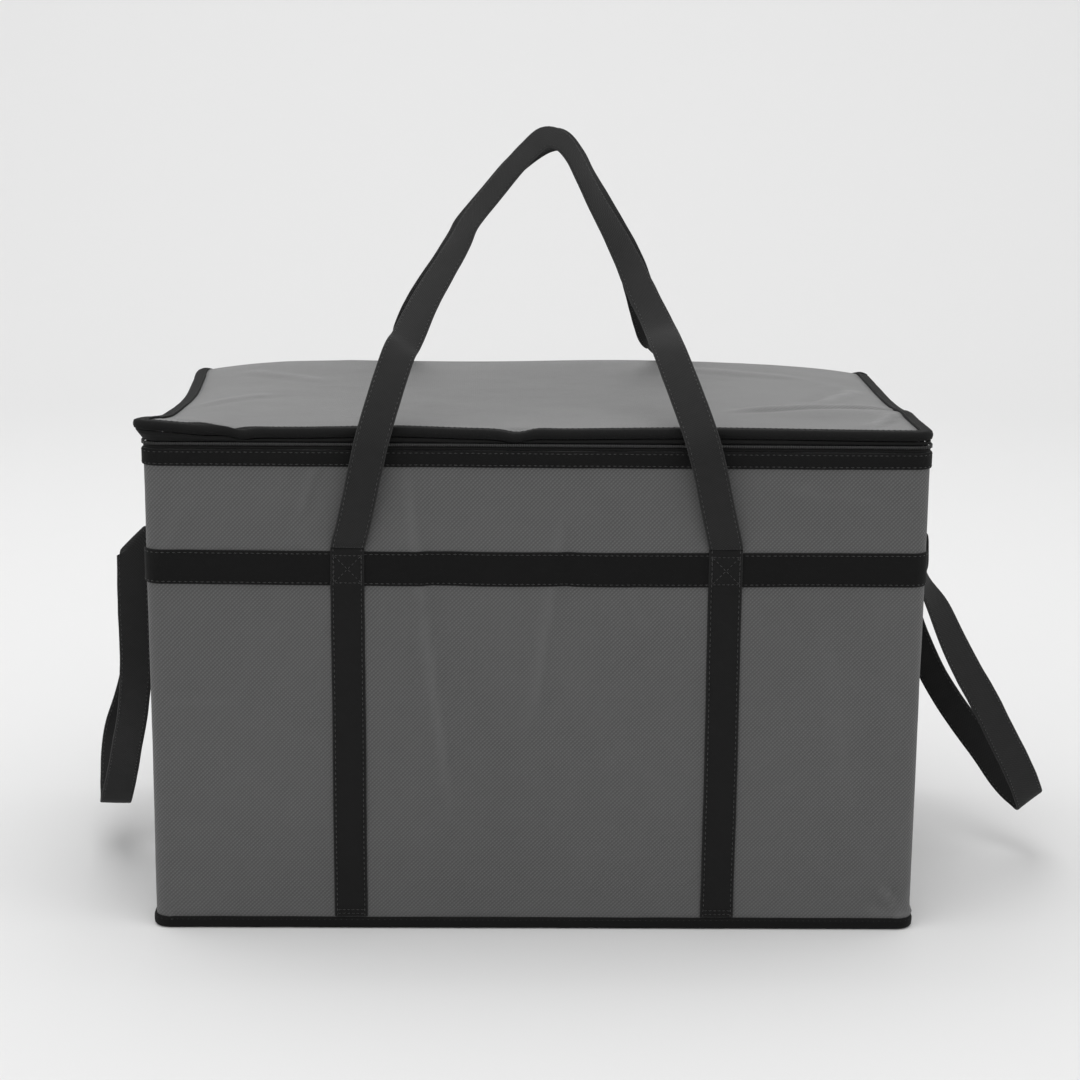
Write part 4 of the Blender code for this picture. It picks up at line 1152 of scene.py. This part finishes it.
def make_zip_coil(teeth, stations):
    line, ups = wall_line(stations, COIL_MIDDLE)
    around, size = COIL_SIDES, len(line)
    tube = np.zeros((size, around, 3))
    for k in range(around):
        turn = 2 * math.pi * k / around
        tube[:, k] = line + ups * COIL_OUT * math.cos(turn) + (0.0, 0.0, COIL_UP * math.sin(turn))
    faces = [(i * around + k, (i + 1) * around + k, (i + 1) * around + (k + 1) % around,
              i * around + (k + 1) % around) for i in range(size - 1) for k in range(around)]
    faces += [tuple(range(around)), tuple((size - 1) * around + k for k in reversed(range(around)))]
    build = Build()
    build.add(tube.reshape(-1, 3), faces, np.zeros((size * around, 2)))
    # Teeth of the coil: short turns across it, each leaning a little
    run = running_length(line)
    count = int(run[-1] / TOOTH_PITCH)
    cell = ((0, 3, 2, 1), (4, 5, 6, 7), (0, 1, 5, 4), (1, 2, 6, 5), (2, 3, 7, 6), (3, 0, 4, 7))
    for index in range(count):
        where = (index + 0.5) * run[-1] / count
        spot = along_path(where, run, line)
        out = unit(along_path(where, run, ups))
        way = np.array((-out[1], out[0], 0.0))
        verts = []
        for end in (-1, 1):
            for side, reach in ((-1, 0.2), (1, 0.2), (1, 1.0), (-1, 1.0)):
                verts.append(spot + way * (TOOTH_WIDTH / 2 * side + LIFT * end)
                             + out * TOOTH_REACH * reach + (0.0, 0.0, TOOTH_HEIGHT / 2 * end))
        build.add(verts, cell, np.zeros((8, 2)))
    build.piece("zip_teeth", [teeth], "zip_coil")


def make_zip(ribbed, teeth):
    stations = [*face_stations(LEFT, ZIP_STEP), *corner(LEFT), *face_stations(FRONT, ZIP_STEP),
                *corner(FRONT), *face_stations(RIGHT, ZIP_STEP)]
    make_zip_tapes(ribbed, stations)
    make_zip_coil(teeth, stations)
    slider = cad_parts["zip_slider"]
    slider.data.materials.clear()
    slider.data.materials.append(teeth)


set_camera()
make_stage()
set_light()
WALL_CLOTH = cloth_material("wall_cloth", 0.071, 0.10)
# The lid is the walls' cloth painted lighter: painted light for the stronger light that falls on it from
# above
LID_CLOTH_PAINTED_LIT = cloth_material("lid_cloth", 0.109, 0.30)
BASE_CLOTH = cloth_material("base_cloth", 0.074, 0.10)
BINDING = tape_material("binding_tape", 0.0035, 45, 0.03)
STRAP_TAPE = tape_material("strap_tape", 0.0062, 45, 0.06)
# The handles are the straps' tape painted lighter: painted light for the stronger light that falls on
# them from above
HANDLE_TAPE_PAINTED_LIT = tape_material("handle_tape_painted_lit", 0.0135, 45, 0.10, 0.0014)
THREAD = thread_material("thread", 0.013)
RIBBED = tape_material("zip_tape", 0.006, 0, 0.05, 0.0009)
TEETH = plastic_material("zip_teeth", 0.010)
make_walls(WALL_CLOTH)
make_base(BASE_CLOTH)
make_bands(BINDING, THREAD)
make_straps(STRAP_TAPE, THREAD)
make_lid(LID_CLOTH_PAINTED_LIT)
make_lid_binding(BINDING, THREAD)
make_zip(RIBBED, TEETH)
make_top_handle("front_grip", "front_handle", FRONT, FRONT_BENDS, HANDLE_TAPE_PAINTED_LIT, THREAD)
make_top_handle("back_grip", "back_handle", BACK, BACK_BENDS, HANDLE_TAPE_PAINTED_LIT, THREAD)
make_side_handle("right_grip", "right_handle", RIGHT, RIGHT_FOLDS, RIGHT_BENDS, HANDLE_TAPE_PAINTED_LIT, THREAD)
make_side_handle("left_grip", "left_handle", LEFT, LEFT_FOLDS, LEFT_BENDS, HANDLE_TAPE_PAINTED_LIT, THREAD)
